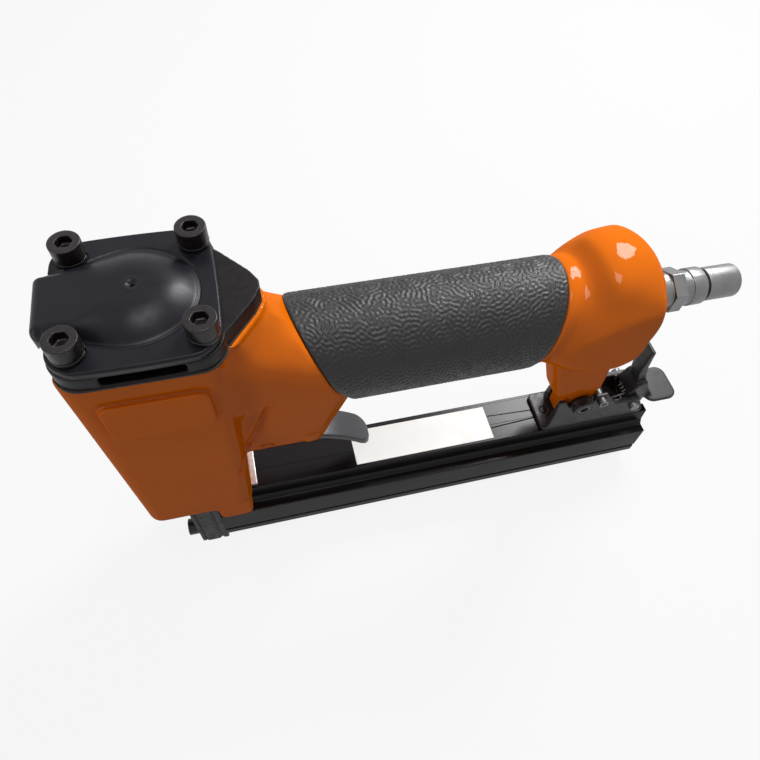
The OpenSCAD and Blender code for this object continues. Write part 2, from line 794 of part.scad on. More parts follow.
// Cap with its dome and exhaust hood
function dome_edge(n) = [for (i = [0 : n]) let (a = 90 * i / n)
    [dome_r - dome_edge_r + dome_edge_r * cos(a), dome_top - dome_edge_r + dome_edge_r * sin(a)]];
module top_cap() {
    color(black) difference() {
        union() {
            round_plate(-cap_front, cap_rear, cap_half_w, plate_top, cap_top, cap_corner_r);
            rotate_extrude()
                polygon(concat([[0, plate_top], [dome_r, plate_top]], dome_edge(dome_steps),
                    [[0, dome_top]]));
            hull()
                for (s = [-1, 1], p = [[-cap_front - hood_lip + hood_edge_r, hood_front_h], [0, hood_h]])
                    translate([0, s * (hood_half_w - hood_edge_r), 0])
                        rod_z(hood_edge_r, p[0], 0, cap_top, cap_top + p[1], $fn = hull_fn);
            block(-cap_front - hood_lip, -cap_front - seat_gap, -hood_half_w, hood_half_w,
                cap_top - hood_drop, cap_top + hood_front_h / 2);
        }
        rod_z(valve_bore_r, 0, 0, plate_top - over, cap_top);
        rod_z(dome_r - dome_edge_r - dome_wall, 0, 0, plate_top - over, dome_roof);
        translate([0, 0, dome_top]) sphere(r = dimple_r);
        block(-cap_front, 0, hood_edge_r - hood_half_w, hood_half_w - hood_edge_r,
            plate_top - over, cap_top);
        for (x = [-screw_at, screw_at], y = [-screw_at, screw_at])
            rod_z(screw_r + seat_gap, x, y, plate_top - over, cap_top + over);
    }
}

module cap_screws() {
    color(dark_grey)
        for (x = [-screw_at, screw_at], y = [-screw_at, screw_at])
            translate([x, y, cap_top + washer_t + screw_head_h])
                socket_screw(screw_r, screw_head_r, screw_head_h,
                    washer_t + cap_top - body_top + screw_reach - over, socket_af, socket_depth);
}

module cap_lock_washers() {
    color(dark_grey)
        for (x = [-screw_at, screw_at], y = [-screw_at, screw_at])
            translate([x, y, cap_top])
                difference() {
                    cylinder(r = washer_r, h = washer_t);
                    translate([0, 0, -over]) cylinder(r = screw_r + seat_gap, h = washer_t + 2 * over);
                    translate([0, -washer_split / 2, -over])
                        cube([washer_r + over, washer_split, washer_t + 2 * over]);
                }
}

// Outline of the head plate with its tail, as a plate between two heights
module tailed_plate(z0, z1) {
    round_plate(-cap_front, cap_rear, cap_half_w, z0, z1, cap_corner_r);
    translate([0, 0, z0]) linear_extrude(z1 - z0)
        polygon(concat([[0, -cap_half_w + cap_corner_r], [0, cap_half_w - cap_corner_r]],
            [for (p = tail_shares) [p[0] * tail_reach, p[1] * cap_half_w]],
            [for (i = [len(tail_shares) - 1 : -1 : 0])
                [tail_shares[i][0] * tail_reach, -tail_shares[i][1] * cap_half_w]]));
}

module screw_holes(z0, z1) {
    for (x = [-screw_at, screw_at], y = [-screw_at, screw_at])
        rod_z(screw_r + seat_gap, x, y, z0 - over, z1 + over);
}

module head_plate() {
    color(black) difference() {
        tailed_plate(gasket_top, plate_top);
        rod_z(valve_bore_r, 0, 0, gasket_top - over, plate_top + over);
        for (s = [-1, 1])
            translate([0, s * cap_half_w, 0])
                block(-window_l / 2, window_l / 2, -window_depth, window_depth,
                    gasket_top + window_low, gasket_top + window_low + window_h);
        screw_holes(gasket_top, plate_top);
    }
}

module head_gasket() {
    color(dark_grey) difference() {
        tailed_plate(body_top, gasket_top);
        rod_z(chamber_r, 0, 0, body_top - over, gasket_top + over);
        screw_holes(body_top, gasket_top);
    }
}

// Head valve: a cup that closes the top of the sleeve
module head_valve() {
    color(alloy) difference() {
        rod_z(valve_r, 0, 0, valve_low, valve_low + valve_h);
        rod_z(valve_cup_r, 0, 0, valve_low + valve_floor, valve_low + valve_h + over);
        ring_groove(valve_r, valve_low + valve_h - 2 * ring_wire_r);
    }
}

// Groove and ring of a seal that runs in a bore
module ring_groove(r, z) {
    difference() {
        rod_z(r + over, 0, 0, z - ring_wire_r - ring_squeeze, z + ring_wire_r + ring_squeeze);
        rod_z(r - 2 * ring_wire_r, 0, 0, z - 2 * ring_wire_r, z + 2 * ring_wire_r);
    }
}
module seal_ring(r, z) { ring_z(r - ring_wire_r, ring_wire_r - ring_squeeze, z); }

module head_valve_ring() { color(rubber) seal_ring(valve_r, valve_low + valve_h - 2 * ring_wire_r); }

module head_valve_seal() {
    color(rubber) difference() {
        rod_z(valve_r, 0, 0, valve_low - seal_t, valve_low);
        rod_z(bore_r - seal_lip, 0, 0, valve_low - seal_t - over, valve_low + over);
    }
}

module head_valve_spring() {
    color(steel)
        translate([0, 0, valve_low + valve_floor + seat_gap])
            coil_spring("head_valve_spring", valve_cup_r - 2 * head_wire_r - run_gap, head_wire_r,
                dome_roof - valve_low - valve_floor - 2 * seat_gap, head_curls,
                2 * head_wire_r, 2 * head_wire_r);
}

module cylinder_sleeve() {
    color(steel) difference() {
        union() {
            rod_z(sleeve_r, 0, 0, floor_z, sleeve_top);
            for (z = [floor_z, sleeve_top - 2 * flange_h])
                rod_z(chamber_r - seat_gap, 0, 0, z, z + flange_h);
        }
        rod_z(bore_r, 0, 0, floor_z - over, sleeve_top + over);
        for (z = [floor_z, sleeve_top - 2 * flange_h])
            ring_groove(chamber_r - seat_gap, z + flange_h / 2);
        for (i = [0 : port_count - 1])
            rotate([0, 0, 360 * (i + port_turn_share) / port_count])
                rod_x(port_r, bore_r / 2, chamber_r, 0, floor_z + flange_h + 2 * port_r);
    }
}

module sleeve_rings() {
    color(rubber)
        for (z = [floor_z, sleeve_top - 2 * flange_h])
            seal_ring(chamber_r - seat_gap, z + flange_h / 2);
}

module bumper() {
    color(rubber) difference() {
        rod_z(bore_r - move_gap, 0, 0, floor_z, floor_z + bumper_h);
        rod_z(stem_r + stem_gap, 0, 0, floor_z - over, floor_z + bumper_h + over);
    }
}

// Piston with the driver blade pinned into its stem
blade_top = piston_low - stem_h + blade_grip_share * stem_h;
pin_z = piston_low - stem_h / 2;
module piston() {
    color(alloy) difference() {
        union() {
            rod_z(bore_r - run_gap, 0, 0, piston_low, piston_top);
            rod_z(stem_r, 0, 0, piston_low - stem_h, piston_top);
        }
        ring_groove(bore_r - run_gap, piston_top - piston_h / 2);
        block(-blade_t / 2 - seat_gap, blade_t / 2 + seat_gap,
            -blade_half_w - seat_gap, blade_half_w + seat_gap,
            piston_low - stem_h - over, blade_top + seat_gap);
        rod_x(driver_pin_r + seat_gap, -stem_r - over, stem_r + over, 0, pin_z);
    }
}
module piston_ring() { color(rubber) seal_ring(bore_r - run_gap, piston_top - piston_h / 2); }
module driver_blade() {
    color(steel) difference() {
        block(-blade_t / 2, blade_t / 2, -blade_half_w, blade_half_w, stroke + nose_clear, blade_top);
        rod_x(driver_pin_r + seat_gap, -blade_t, blade_t, 0, pin_z);
    }
}
module driver_pin() { color(steel) rod_x(driver_pin_r, -stem_r + stem_gap, stem_r - stem_gap, 0, pin_z); }

// Rubber grip: its front end is cut on a slant
module grip_sleeve() {
    color(rubber) difference() {
        turn_x(handle_z)
            polygon([[core_r + seat_gap, grip_front_top - grip_r], [grip_r, grip_front_top - grip_r],
                [grip_r, grip_rear + grip_r], [core_r + seat_gap, grip_rear + grip_r]]);
        grip_end(grip_front, front_slant) translate([0, 0, -2 * grip_r])
            cylinder(r = 2 * grip_r, h = 2 * grip_r);
        grip_end(grip_rear, rear_slant) cylinder(r = 2 * grip_r, h = 2 * grip_r);
    }
}

// Air plug with its hexagon, collar, neck and tip
module air_plug() {
    color(bright) difference() {
        union() {
            rod_x(thread_r - seat_gap, body_rear - thread_l, (hex_front + hex_rear) / 2, 0, handle_z);
            translate([hex_front, 0, handle_z]) rotate([0, 90, 0]) hexagon(hex_af, hex_l);
            turn_x(handle_z) polygon([[0, hex_front], [barrel_d / 2, hex_front], [barrel_d / 2, barrel_rear],
                [collar_d / 2, barrel_rear], [collar_d / 2, collar_rear],
                [tip_d / 2 - neck_cut, collar_rear], [tip_d / 2 - neck_cut, collar_rear + neck_l],
                [tip_d / 2, collar_rear + neck_l], [tip_d / 2, tip_rear - tip_edge],
                [tip_d / 2 - tip_edge, tip_rear], [0, tip_rear]]);
        }
        rod_x(plug_bore / 2, body_rear - thread_l - over, tip_rear + over, 0, handle_z);
    }
}
module plug_washer() {
    color(brass) difference() {
        rod_x(plug_washer_r, body_rear, shank_front, 0, handle_z);
        rod_x(thread_r, body_rear - over, shank_front + over, 0, handle_z);
    }
}

// Trigger: an arched lever on a cross pin
module trigger_side() {
    translate([trigger_x, trigger_z]) circle(r = trigger_boss_r);
    intersection() {
        difference() {
            translate([arch_x, arch_z]) circle(r = arch_r);
            translate([arch_x, arch_z]) circle(r = arch_r - arch_t);
        }
        translate([trigger_x, arch_z]) square([trigger_tip + over - trigger_x, 2 * arch_r]);
    }
    polygon([[trigger_x - trigger_boss_r, trigger_z], [trigger_x, arch_z + arch_r - arch_t],
        [arch_x + trigger_boss_r, arch_z + arch_r - arch_t / 2],
        [trigger_x + trigger_boss_r, trigger_z]]);
}
module trigger_plan() {
    front = trigger_x - 2 * trigger_boss_r;
    translate([front, -trigger_half_w])
        square([trigger_tip - tip_round - front, 2 * trigger_half_w]);
    translate([front, tip_round - trigger_half_w])
        square([trigger_tip - front, 2 * trigger_half_w - 2 * tip_round]);
    for (s = [-1, 1])
        translate([trigger_tip - tip_round, s * (trigger_half_w - tip_round)]) circle(r = tip_round);
}
module trigger() {
    color(dark_grey) difference() {
        intersection() {
            side_plate(-trigger_half_w - over, trigger_half_w + over) trigger_side();
            linear_extrude(trigger_z + 2 * trigger_boss_r) trigger_plan();
        }
        rod_y(trigger_pin_r + run_gap, trigger_x,
            -trigger_half_w - over, trigger_half_w + over, trigger_z);
    }
}
module trigger_pin() {
    half = housing_half_w - seat_gap;
    color(steel) rod_y(trigger_pin_r, trigger_x, -half, half, trigger_z);
}

// Trigger valve: a bushing in the casting, a sprung stem and its seals
stem_low = arch_z + sqrt(arch_r * arch_r - (valve_x - arch_x) * (valve_x - arch_x)) + move_gap;
module valve_bushing() {
    color(brass) difference() {
        union() {
            rod_z(bushing_r, valve_x, 0, slot_roof, bushing_top);
            rod_z(bushing_flange_r, valve_x, 0, slot_roof - bushing_flange_t, slot_roof);
        }
        rod_z(stem_pin_r + run_gap, valve_x, 0, slot_roof - bushing_flange_t - over, bushing_top + over);
        rod_z(bushing_hollow_r, valve_x, 0, slot_roof + bushing_floor, bushing_top - bushing_floor);
        translate([valve_x, 0, 0])
            for (z = [slot_roof + bushing_floor / 2, bushing_top - bushing_floor / 2])
                ring_groove(bushing_r, z);
    }
}
module valve_rings() {
    color(rubber) translate([valve_x, 0, 0])
        for (z = [slot_roof + bushing_floor / 2, bushing_top - bushing_floor / 2])
            seal_ring(bushing_r, z);
}
stem_head_low = slot_roof + bushing_floor + seat_gap;
module valve_stem() {
    color(steel) {
        rod_z(stem_pin_r, valve_x, 0, stem_low, stem_head_low + stem_head_h);
        rod_z(stem_head_r, valve_x, 0, stem_head_low, stem_head_low + stem_head_h);
    }
}
module valve_spring() {
    spring_low = stem_head_low + stem_head_h + seat_gap;
    color(steel) translate([valve_x, 0, spring_low])
        coil_spring("valve_spring", bushing_hollow_r - 2 * valve_wire_r - run_gap, valve_wire_r,
            bushing_top - bushing_floor - spring_low - seat_gap, valve_curls,
            2 * valve_wire_r, 2 * valve_wire_r);
}

// Nose: the block with the driver channel in its rear face, and the front plate
module nose_block() {
    color(black) difference() {
        block(block_front, block_rear, -nose_half_w, nose_half_w, 0, body_low);
        block(-slot_half_t, block_rear + over, -slot_half_w, slot_half_w, -over, body_low + over);
        for (y = [-front_screw_y, front_screw_y])
            rod_x(m4_r + seat_gap, block_front - over, block_front + front_screw_l, y, front_screw_z);
        for (y = [-nose_bolt_y, nose_bolt_y]) {
            rod_z(m4_r + seat_gap, nose_bolt_x, y, -over, body_low + over);
            rod_z(m4_head_r + seat_gap, nose_bolt_x, y,
                body_low - nose_bolt_in, body_low - nose_bolt_in + m4_head_h);
        }
    }
}
module front_plate() {
    color(dark_grey) difference() {
        block(plate_front, block_front, -nose_half_w, nose_half_w, plate_low, body_low - plate_low);
        for (y = [-front_screw_y, front_screw_y])
            rod_x(m4_r + seat_gap, plate_front - over, block_front + over, y, front_screw_z);
    }
}
module front_plate_screws() {
    color(dark_grey)
        for (y = [-front_screw_y, front_screw_y])
            translate([plate_front - m4_head_h, y, front_screw_z]) rotate([0, -90, 0])
                socket_screw(m4_r, m4_head_r, m4_head_h, front_plate_t + front_screw_l - over,
                    m4_socket_af, m4_socket_depth);
}
module nose_bolts() {
    color(dark_grey)
        for (y = [-nose_bolt_y, nose_bolt_y])
            translate([nose_bolt_x, y, body_low - nose_bolt_in]) rotate([180, 0, 0])
                socket_screw(m4_r, m4_head_r, m4_head_h, nose_bolt_in - m4_head_h + nose_bolt_up,
                    m4_socket_af, m4_socket_depth);
}

// Magazine: an extrusion with a staple channel and two runner grooves
module magazine_housing() {
    step = mag_top - shoulder_drop;
    half = [[top_half_w, mag_top], [top_half_w + flank_lean, mag_top - flank_drop], [shoulder_half_w, step],
        [skirt_half_w - skirt_lean, step], [skirt_half_w, mag_low + groove_rise + groove_h],
        [skirt_half_w - groove_depth, mag_low + groove_rise + groove_h],
        [skirt_half_w - groove_depth, mag_low + groove_rise], [skirt_half_w, mag_low + groove_rise],
        [skirt_half_w, mag_low], [lip_half_w, mag_low], [lip_half_w, runner_low - runner_gap],
        [runner_half_w + runner_gap, runner_low - runner_gap],
        [runner_half_w + runner_gap, runner_top + runner_gap],
        [channel_half_w, runner_top + runner_gap], [channel_half_w, mag_roof]];
    last = len(half) - 1;
    color(black) difference() {
        run_along(mag_front, magazine_rear)
            polygon(concat(half, [for (i = [last : -1 : 0]) [-half[i][0], half[i][1]]]));
        block(magazine_rear - notch_l, magazine_rear + over, -notch_half_w, notch_half_w,
            mag_roof - over, mag_top + over);
        for (x = concat(mag_screw_x, bracket_screw_x)) {
            rod_z(m3_r + seat_gap, x, 0, mag_roof - over, mag_top + over);
            rod_z(m3_head_r + seat_gap, x, 0, mag_roof - over, mag_roof + m3_head_h);
        }
    }
}

// Bright seat plate between the casting and the magazine
module magazine_seat() {
    color(bright) difference() {
        block(seat_front, seat_rear, -seat_half_w, seat_half_w, mag_top, mag_top + seat_t);
        for (x = mag_screw_x)
            rod_z(m3_r + seat_gap, x, 0, mag_top - over, mag_top + seat_t + over);
    }
}
module magazine_screws() {
    color(steel)
        for (x = mag_screw_x) {
            rod_z(m3_head_r, x, 0, mag_roof, mag_roof + m3_head_h - seat_gap);
            rod_z(m3_r, x, 0, mag_roof, mag_top + m3_up - over);
        }
}
module label_plate() {
    color(white) block(label_front, label_rear, -label_half_w, label_half_w, mag_top, mag_top + label_t);
}

// Drawer: the staple rail with its runners, its rear end and the pusher's rod
module drawer_rail() {
    color(steel) difference() {
        union() {
            block(core_front, end_rear, -runner_half_w, runner_half_w, runner_low, runner_top);
            block(core_front, end_front, -core_half_w, core_half_w, runner_top, core_top);
        }
        block(web_front + web_l, end_front + over, core_wall - core_half_w, core_half_w - core_wall,
            runner_top, core_top + over);
        block(core_front - over, web_front, core_wall - core_half_w, core_half_w - core_wall,
            runner_top, core_top + over);
        rod_x(rod_r + seat_gap, web_front - over, web_front + web_l + over, 0, rod_z0);
        for (x = [end_front + end_l / 2 - rivet_spread / 2, end_front + end_l / 2 + rivet_spread / 2])
            rod_z(rivet_r + seat_gap, x, 0, runner_low - over, runner_top + over);
    }
}
module drawer_end() {
    color(black) difference() {
        block(end_front, end_rear, -core_half_w, core_half_w, runner_top, end_top);
        rod_x(rod_r + seat_gap, end_front - over, end_front + web_l, 0, rod_z0);
        for (x = [end_front + end_l / 2 - rivet_spread / 2, end_front + end_l / 2 + rivet_spread / 2])
            rod_z(rivet_r + seat_gap, x, 0, runner_top - over, runner_top + web_l);
    }
}
module drawer_rivets() {
    color(steel)
        for (x = [end_front + end_l / 2 - rivet_spread / 2, end_front + end_l / 2 + rivet_spread / 2])
            rod_z(rivet_r, x, 0, runner_low, runner_top + web_l - seat_gap);
}
module spring_rod() { color(steel) rod_x(rod_r, web_front, end_front + web_l - seat_gap, 0, rod_z0); }

// Pusher: a saddle over the rail with a tongue on the rod
module pusher() {
    roof = core_top + move_gap;
    tongue_front_x = pusher_front + tongue_inset;
    color(steel) difference() {
        block(pusher_front, pusher_front + pusher_l, -pusher_half_w, pusher_half_w,
            pusher_low, mag_roof - move_gap);
        block(pusher_front - over, tongue_front_x, -core_half_w - runner_gap, core_half_w + runner_gap,
            pusher_low - over, roof);
        block(tongue_front_x + tongue_l, pusher_front + pusher_l + over, -core_half_w - runner_gap,
            core_half_w + runner_gap, pusher_low - over, roof);
        for (s = [-1, 1])
            translate([0, s * (core_half_w + tongue_w + runner_gap) / 2, 0])
                block(tongue_front_x - over, tongue_front_x + tongue_l + over,
                    -(core_half_w + runner_gap - tongue_w) / 2, (core_half_w + runner_gap - tongue_w) / 2,
                    pusher_low - over, roof);
        rod_x(rod_r + run_gap, tongue_front_x - over, tongue_front_x + tongue_l + over, 0, rod_z0);
    }
}
module pusher_spring() {
    spring_front = pusher_front + tongue_inset + tongue_l + seat_gap;
    color(steel) translate([spring_front, 0, rod_z0]) rotate([0, 90, 0])
        coil_spring("pusher_spring", pusher_spring_r, pusher_wire / 2, end_front - spring_front - seat_gap,
            pusher_curls, pusher_wire, pusher_wire);
}

// Bracket on the magazine's top, with bosses for the bolt and ears for the latch; the near ear has a horn
ear_shares = [[0.05, 0], [0.06, 0.25], [0.075, 0.55], [0.08, 0.99], [0.14, 0.99], [0.2, 0.76], [0.41, 0.76],
    [0.44, 0.97], [0.54, 0.97], [0.58, 0.8], [0.66, 0.56], [0.9, 0.56], [0.95, 0.3], [0.95, 0]];
ear_h = bolt_rise + boss_r;
bracket_screw_x = [for (x = bracket_screw_in) bracket_front + x];
module ear_section() {
    polygon([[ear_in, mag_top], [ear_out, mag_top], [ear_out, mag_top + foot_t],
        [ear_top_w, mag_top + ear_h], [ear_in, mag_top + ear_h]]);
}
module rear_bracket() {
    bracket_l = bracket_rear - bracket_front;
    color(black) difference() {
        union() {
            round_plate(bracket_front, bracket_rear, ear_out, mag_top, mag_top + foot_t, foot_corner_r);
            for (s = [-1, 1]) {
                intersection() {
                    side_plate(-boss_out, boss_out)
                        polygon([for (p = ear_shares)
                            [bracket_front + p[0] * bracket_l, mag_top + p[1] * ear_h]]);
                    run_along(s < 0 ? bracket_front : tongue_front, 2 * bracket_rear)
                        scale([s, 1]) ear_section();
                }
                rod_y(boss_r, bolt_x, s < 0 ? -boss_out : boss_in, s < 0 ? -boss_in : boss_out, bolt_z);
            }
        }
        rod_y(bolt_d / 2 + seat_gap, bolt_x, -boss_out - over, boss_out + over, bolt_z);
        rod_y(bolt_head_r + seat_gap, bolt_x, -boss_out - over, -boss_out + bolt_head_h, bolt_z);
        rod_y(bracket_pin_r + seat_gap, bracket_pin_x, -boss_out - over, boss_out + over, bracket_pin_z);
        rod_y(latch_pin_r + seat_gap, latch_x, -boss_out - over, boss_out + over, latch_z);
        for (x = bracket_screw_x)
            rod_z(m3_r + seat_gap, x, 0, mag_top - over, mag_top + foot_t + over);
        block(magazine_rear - notch_l, magazine_rear, -notch_half_w, notch_half_w,
            mag_top - over, mag_top + foot_t + over);
    }
}
module bracket_screws() {
    color(dark_grey)
        for (x = bracket_screw_x) {
            rod_z(m3_head_r, x, 0, mag_roof, mag_roof + m3_head_h - seat_gap);
            rod_z(m3_r, x, 0, mag_roof, mag_top + foot_t);
        }
}
module bracket_bolt() {
    color(dark_grey) translate([bolt_x, -boss_out + seat_gap, bolt_z]) rotate([90, 0, 0])
        socket_screw(bolt_d / 2, bolt_head_r, bolt_head_h - 2 * seat_gap, 2 * boss_out - bolt_head_h,
            bolt_socket_af, bolt_head_h / 2);
}
module bracket_pin() {
    color(steel) difference() {
        rod_y(bracket_pin_r, bracket_pin_x, -boss_out, boss_out, bracket_pin_z);
        rod_y(bracket_pin_bore, bracket_pin_x, -boss_out - over, boss_out + over, bracket_pin_z);
    }
}

// Latch: an arm, a paddle and a hook on one pivot
module latch_profile() {
    translate([latch_x, latch_z]) {
        circle(r = latch_boss_r);
        polygon(concat([[0, 0]], arm_h * root_shares));
    }
}
module latch_lever() {
    color(dark_grey) difference() {
        union() {
            side_plate(-cheek_out, cheek_out) latch_profile();
            side_plate(-arm_half_w, arm_half_w) translate([latch_x, latch_z]) polygon(arm_h * arm_shares);
            block(latch_x, paddle_front + paddle_half_w, -cheek_out, cheek_out,
                latch_z - paddle_drop, latch_z - paddle_drop + paddle_t);
            round_plate(paddle_front, magazine_rear + paddle_l, paddle_half_w,
                latch_z - paddle_drop, latch_z - paddle_drop + paddle_t, paddle_half_w / 2);
            block(hook_x, hook_x + hook_l, -hook_half_w, hook_half_w, hook_low, latch_z);
        }
        rod_y(coil_room_r, latch_x, -cheek_in, cheek_in, latch_z);
        rod_y(latch_pin_r + run_gap, latch_x, -cheek_out - over, cheek_out + over, latch_z);
    }
}
module latch_pin() { color(steel) rod_y(latch_pin_r, latch_x, -boss_out, boss_out, latch_z); }
module latch_spring() {
    length = coil_pitch * latch_curls + latch_wire;
    color(steel) translate([latch_x, length / 2, latch_z]) rotate([90, 0, 0]) rotate([0, 0, coil_start_deg])
        coil_spring("latch_spring", coil_r, latch_wire / 2, length, latch_curls, leg_rear_l, leg_front_l);
}

main_body();
top_cap();
cap_screws();
cap_lock_washers();
head_plate();
head_gasket();
head_valve();
head_valve_ring();
head_valve_seal();
head_valve_spring();
cylinder_sleeve();
sleeve_rings();
bumper();
piston();
piston_ring();
driver_blade();
driver_pin();
grip_sleeve();
air_plug();
plug_washer();
trigger();
trigger_pin();
valve_bushing();
valve_rings();
valve_stem();
valve_spring();
nose_block();
front_plate();
front_plate_screws();
nose_bolts();
magazine_housing();
magazine_seat();
magazine_screws();
label_plate();
drawer_rail();
drawer_end();
drawer_rivets();
spring_rod();
pusher();
pusher_spring();
rear_bracket();
bracket_screws();
bracket_bolt();
bracket_pin();
latch_lever();
latch_pin();
latch_spring();
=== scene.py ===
"""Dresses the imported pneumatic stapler: softened castings, a grained grip, finishes, light and camera."""
import json
import math

import bmesh
import bpy
import numpy as np
from mathutils import Matrix, Vector


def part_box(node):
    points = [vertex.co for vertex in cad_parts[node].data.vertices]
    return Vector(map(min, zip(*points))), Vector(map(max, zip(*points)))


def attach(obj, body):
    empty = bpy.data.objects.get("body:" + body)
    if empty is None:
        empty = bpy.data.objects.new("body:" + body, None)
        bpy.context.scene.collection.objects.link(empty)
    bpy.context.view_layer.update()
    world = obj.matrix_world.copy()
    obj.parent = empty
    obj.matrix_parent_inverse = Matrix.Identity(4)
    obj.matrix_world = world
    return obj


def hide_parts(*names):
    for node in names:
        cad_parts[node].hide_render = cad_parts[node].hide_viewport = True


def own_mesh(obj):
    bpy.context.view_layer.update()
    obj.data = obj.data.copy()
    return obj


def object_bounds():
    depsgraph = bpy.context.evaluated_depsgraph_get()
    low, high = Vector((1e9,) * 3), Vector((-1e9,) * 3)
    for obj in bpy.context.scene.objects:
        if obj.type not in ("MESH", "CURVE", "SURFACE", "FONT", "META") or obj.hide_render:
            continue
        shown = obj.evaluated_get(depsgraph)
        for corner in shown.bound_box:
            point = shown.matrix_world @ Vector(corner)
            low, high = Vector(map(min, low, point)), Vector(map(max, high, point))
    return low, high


MM = 0.001
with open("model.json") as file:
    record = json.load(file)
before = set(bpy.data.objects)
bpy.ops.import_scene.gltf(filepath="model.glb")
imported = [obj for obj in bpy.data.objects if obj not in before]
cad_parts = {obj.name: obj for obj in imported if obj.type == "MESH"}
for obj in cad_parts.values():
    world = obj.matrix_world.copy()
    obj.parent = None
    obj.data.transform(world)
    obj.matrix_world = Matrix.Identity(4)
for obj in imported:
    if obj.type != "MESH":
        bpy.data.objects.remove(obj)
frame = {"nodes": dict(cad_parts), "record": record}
nodes = frame["nodes"]
cad_box = [list(corner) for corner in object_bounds()]
slots = {name: node.material_slots[0].material.name for name, node in nodes.items()}


# Camera, from the photograph's viewing angle
IMAGE_PX = 760
FOCAL_PX = 621.7
CENTRE_X_PX = 381.1
CENTRE_Y_PX = 375.9
SENSOR_MM = 36
CAMERA_PLACE = Vector((30.4, -115.9, 271.4)) * MM
CAMERA_RIGHT = Vector((0.9705, -0.2354, 0.0519))
CAMERA_UP = Vector((0.1694, 0.8192, 0.5479))


def add_camera():
    data = bpy.data.cameras.new("camera")
    data.sensor_width = SENSOR_MM
    data.lens = FOCAL_PX / IMAGE_PX * SENSOR_MM
    data.shift_x = (IMAGE_PX / 2 - CENTRE_X_PX) / IMAGE_PX
    data.shift_y = (CENTRE_Y_PX - IMAGE_PX / 2) / IMAGE_PX
    data.clip_start = MM
    camera = bpy.data.objects.new("camera", data)
    bpy.context.scene.collection.objects.link(camera)
    back = CAMERA_RIGHT.cross(CAMERA_UP)
    turn = Matrix((CAMERA_RIGHT, CAMERA_UP, back)).transposed()
    camera.matrix_world = Matrix.Translation(CAMERA_PLACE) @ turn.to_4x4()
    bpy.context.scene.camera = camera


# Materials: a base finish with mottling, uneven gloss and a fine bump
def new_material(name):
    material = bpy.data.materials.new(name)
    material.use_nodes = True
    return material, material.node_tree.nodes, material.node_tree.links


def place_noise(material, size_mm, detail=3, stretch=(1, 1, 1)):
    """Noise fixed to the object, with features about size_mm across."""
    tree = material.node_tree
    where = tree.nodes.new("ShaderNodeTexCoord")
    mapping = tree.nodes.new("ShaderNodeMapping")
    mapping.inputs["Scale"].default_value = [1 / (size_mm * MM * s) for s in stretch]
    texture = tree.nodes.new("ShaderNodeTexNoise")
    texture.inputs["Scale"].default_value = 1
    texture.inputs["Detail"].default_value = detail
    tree.links.new(where.outputs["Object"], mapping.inputs["Vector"])
    tree.links.new(mapping.outputs["Vector"], texture.inputs["Vector"])
    return texture.outputs["Fac"]


def ramp(material, value, low, high, start=0.35, end=0.65):
    """Colours or greys between low and high as value goes from start to end."""
    node = material.node_tree.nodes.new("ShaderNodeValToRGB")
    for element, place, tone in zip(node.color_ramp.elements, (start, end), (low, high)):
        element.position = place
        element.color = (*tone, 1) if isinstance(tone, tuple) else (tone, tone, tone, 1)
    material.node_tree.links.new(value, node.inputs["Fac"])
    return node.outputs["Color"]


def add_bump(material, height, depth_mm, below=None):
    node = material.node_tree.nodes.new("ShaderNodeBump")
    node.inputs["Distance"].default_value = depth_mm * MM
    material.node_tree.links.new(height, node.inputs["Height"])
    if below is not None:
        material.node_tree.links.new(below, node.inputs["Normal"])
    return node.outputs["Normal"]


def finish(name, colour, shade=0.85, mottle_mm=9, gloss=(0.3, 0.4), gloss_mm=4, grain_mm=0.5,
           grain_depth_mm=0.01, stretch=(1, 1, 1), **sockets):
    """A surface of one colour, a little uneven in tone and gloss, with a fine grain."""
    material, tree_nodes, links = new_material(name)
    shader = tree_nodes["Principled BSDF"]
    darker = tuple(c * shade for c in colour)
    tone = ramp(material, place_noise(material, mottle_mm), darker, colour)
    links.new(tone, shader.inputs["Base Color"])
    rough = ramp(material, place_noise(material, gloss_mm, stretch=stretch), gloss[0], gloss[1])
    links.new(rough, shader.inputs["Roughness"])
    grain = place_noise(material, grain_mm, stretch=stretch)
    links.new(add_bump(material, grain, grain_depth_mm), shader.inputs["Normal"])
    for socket, value in sockets.items():
        shader.inputs[socket.replace("_", " ")].default_value = value
    return material


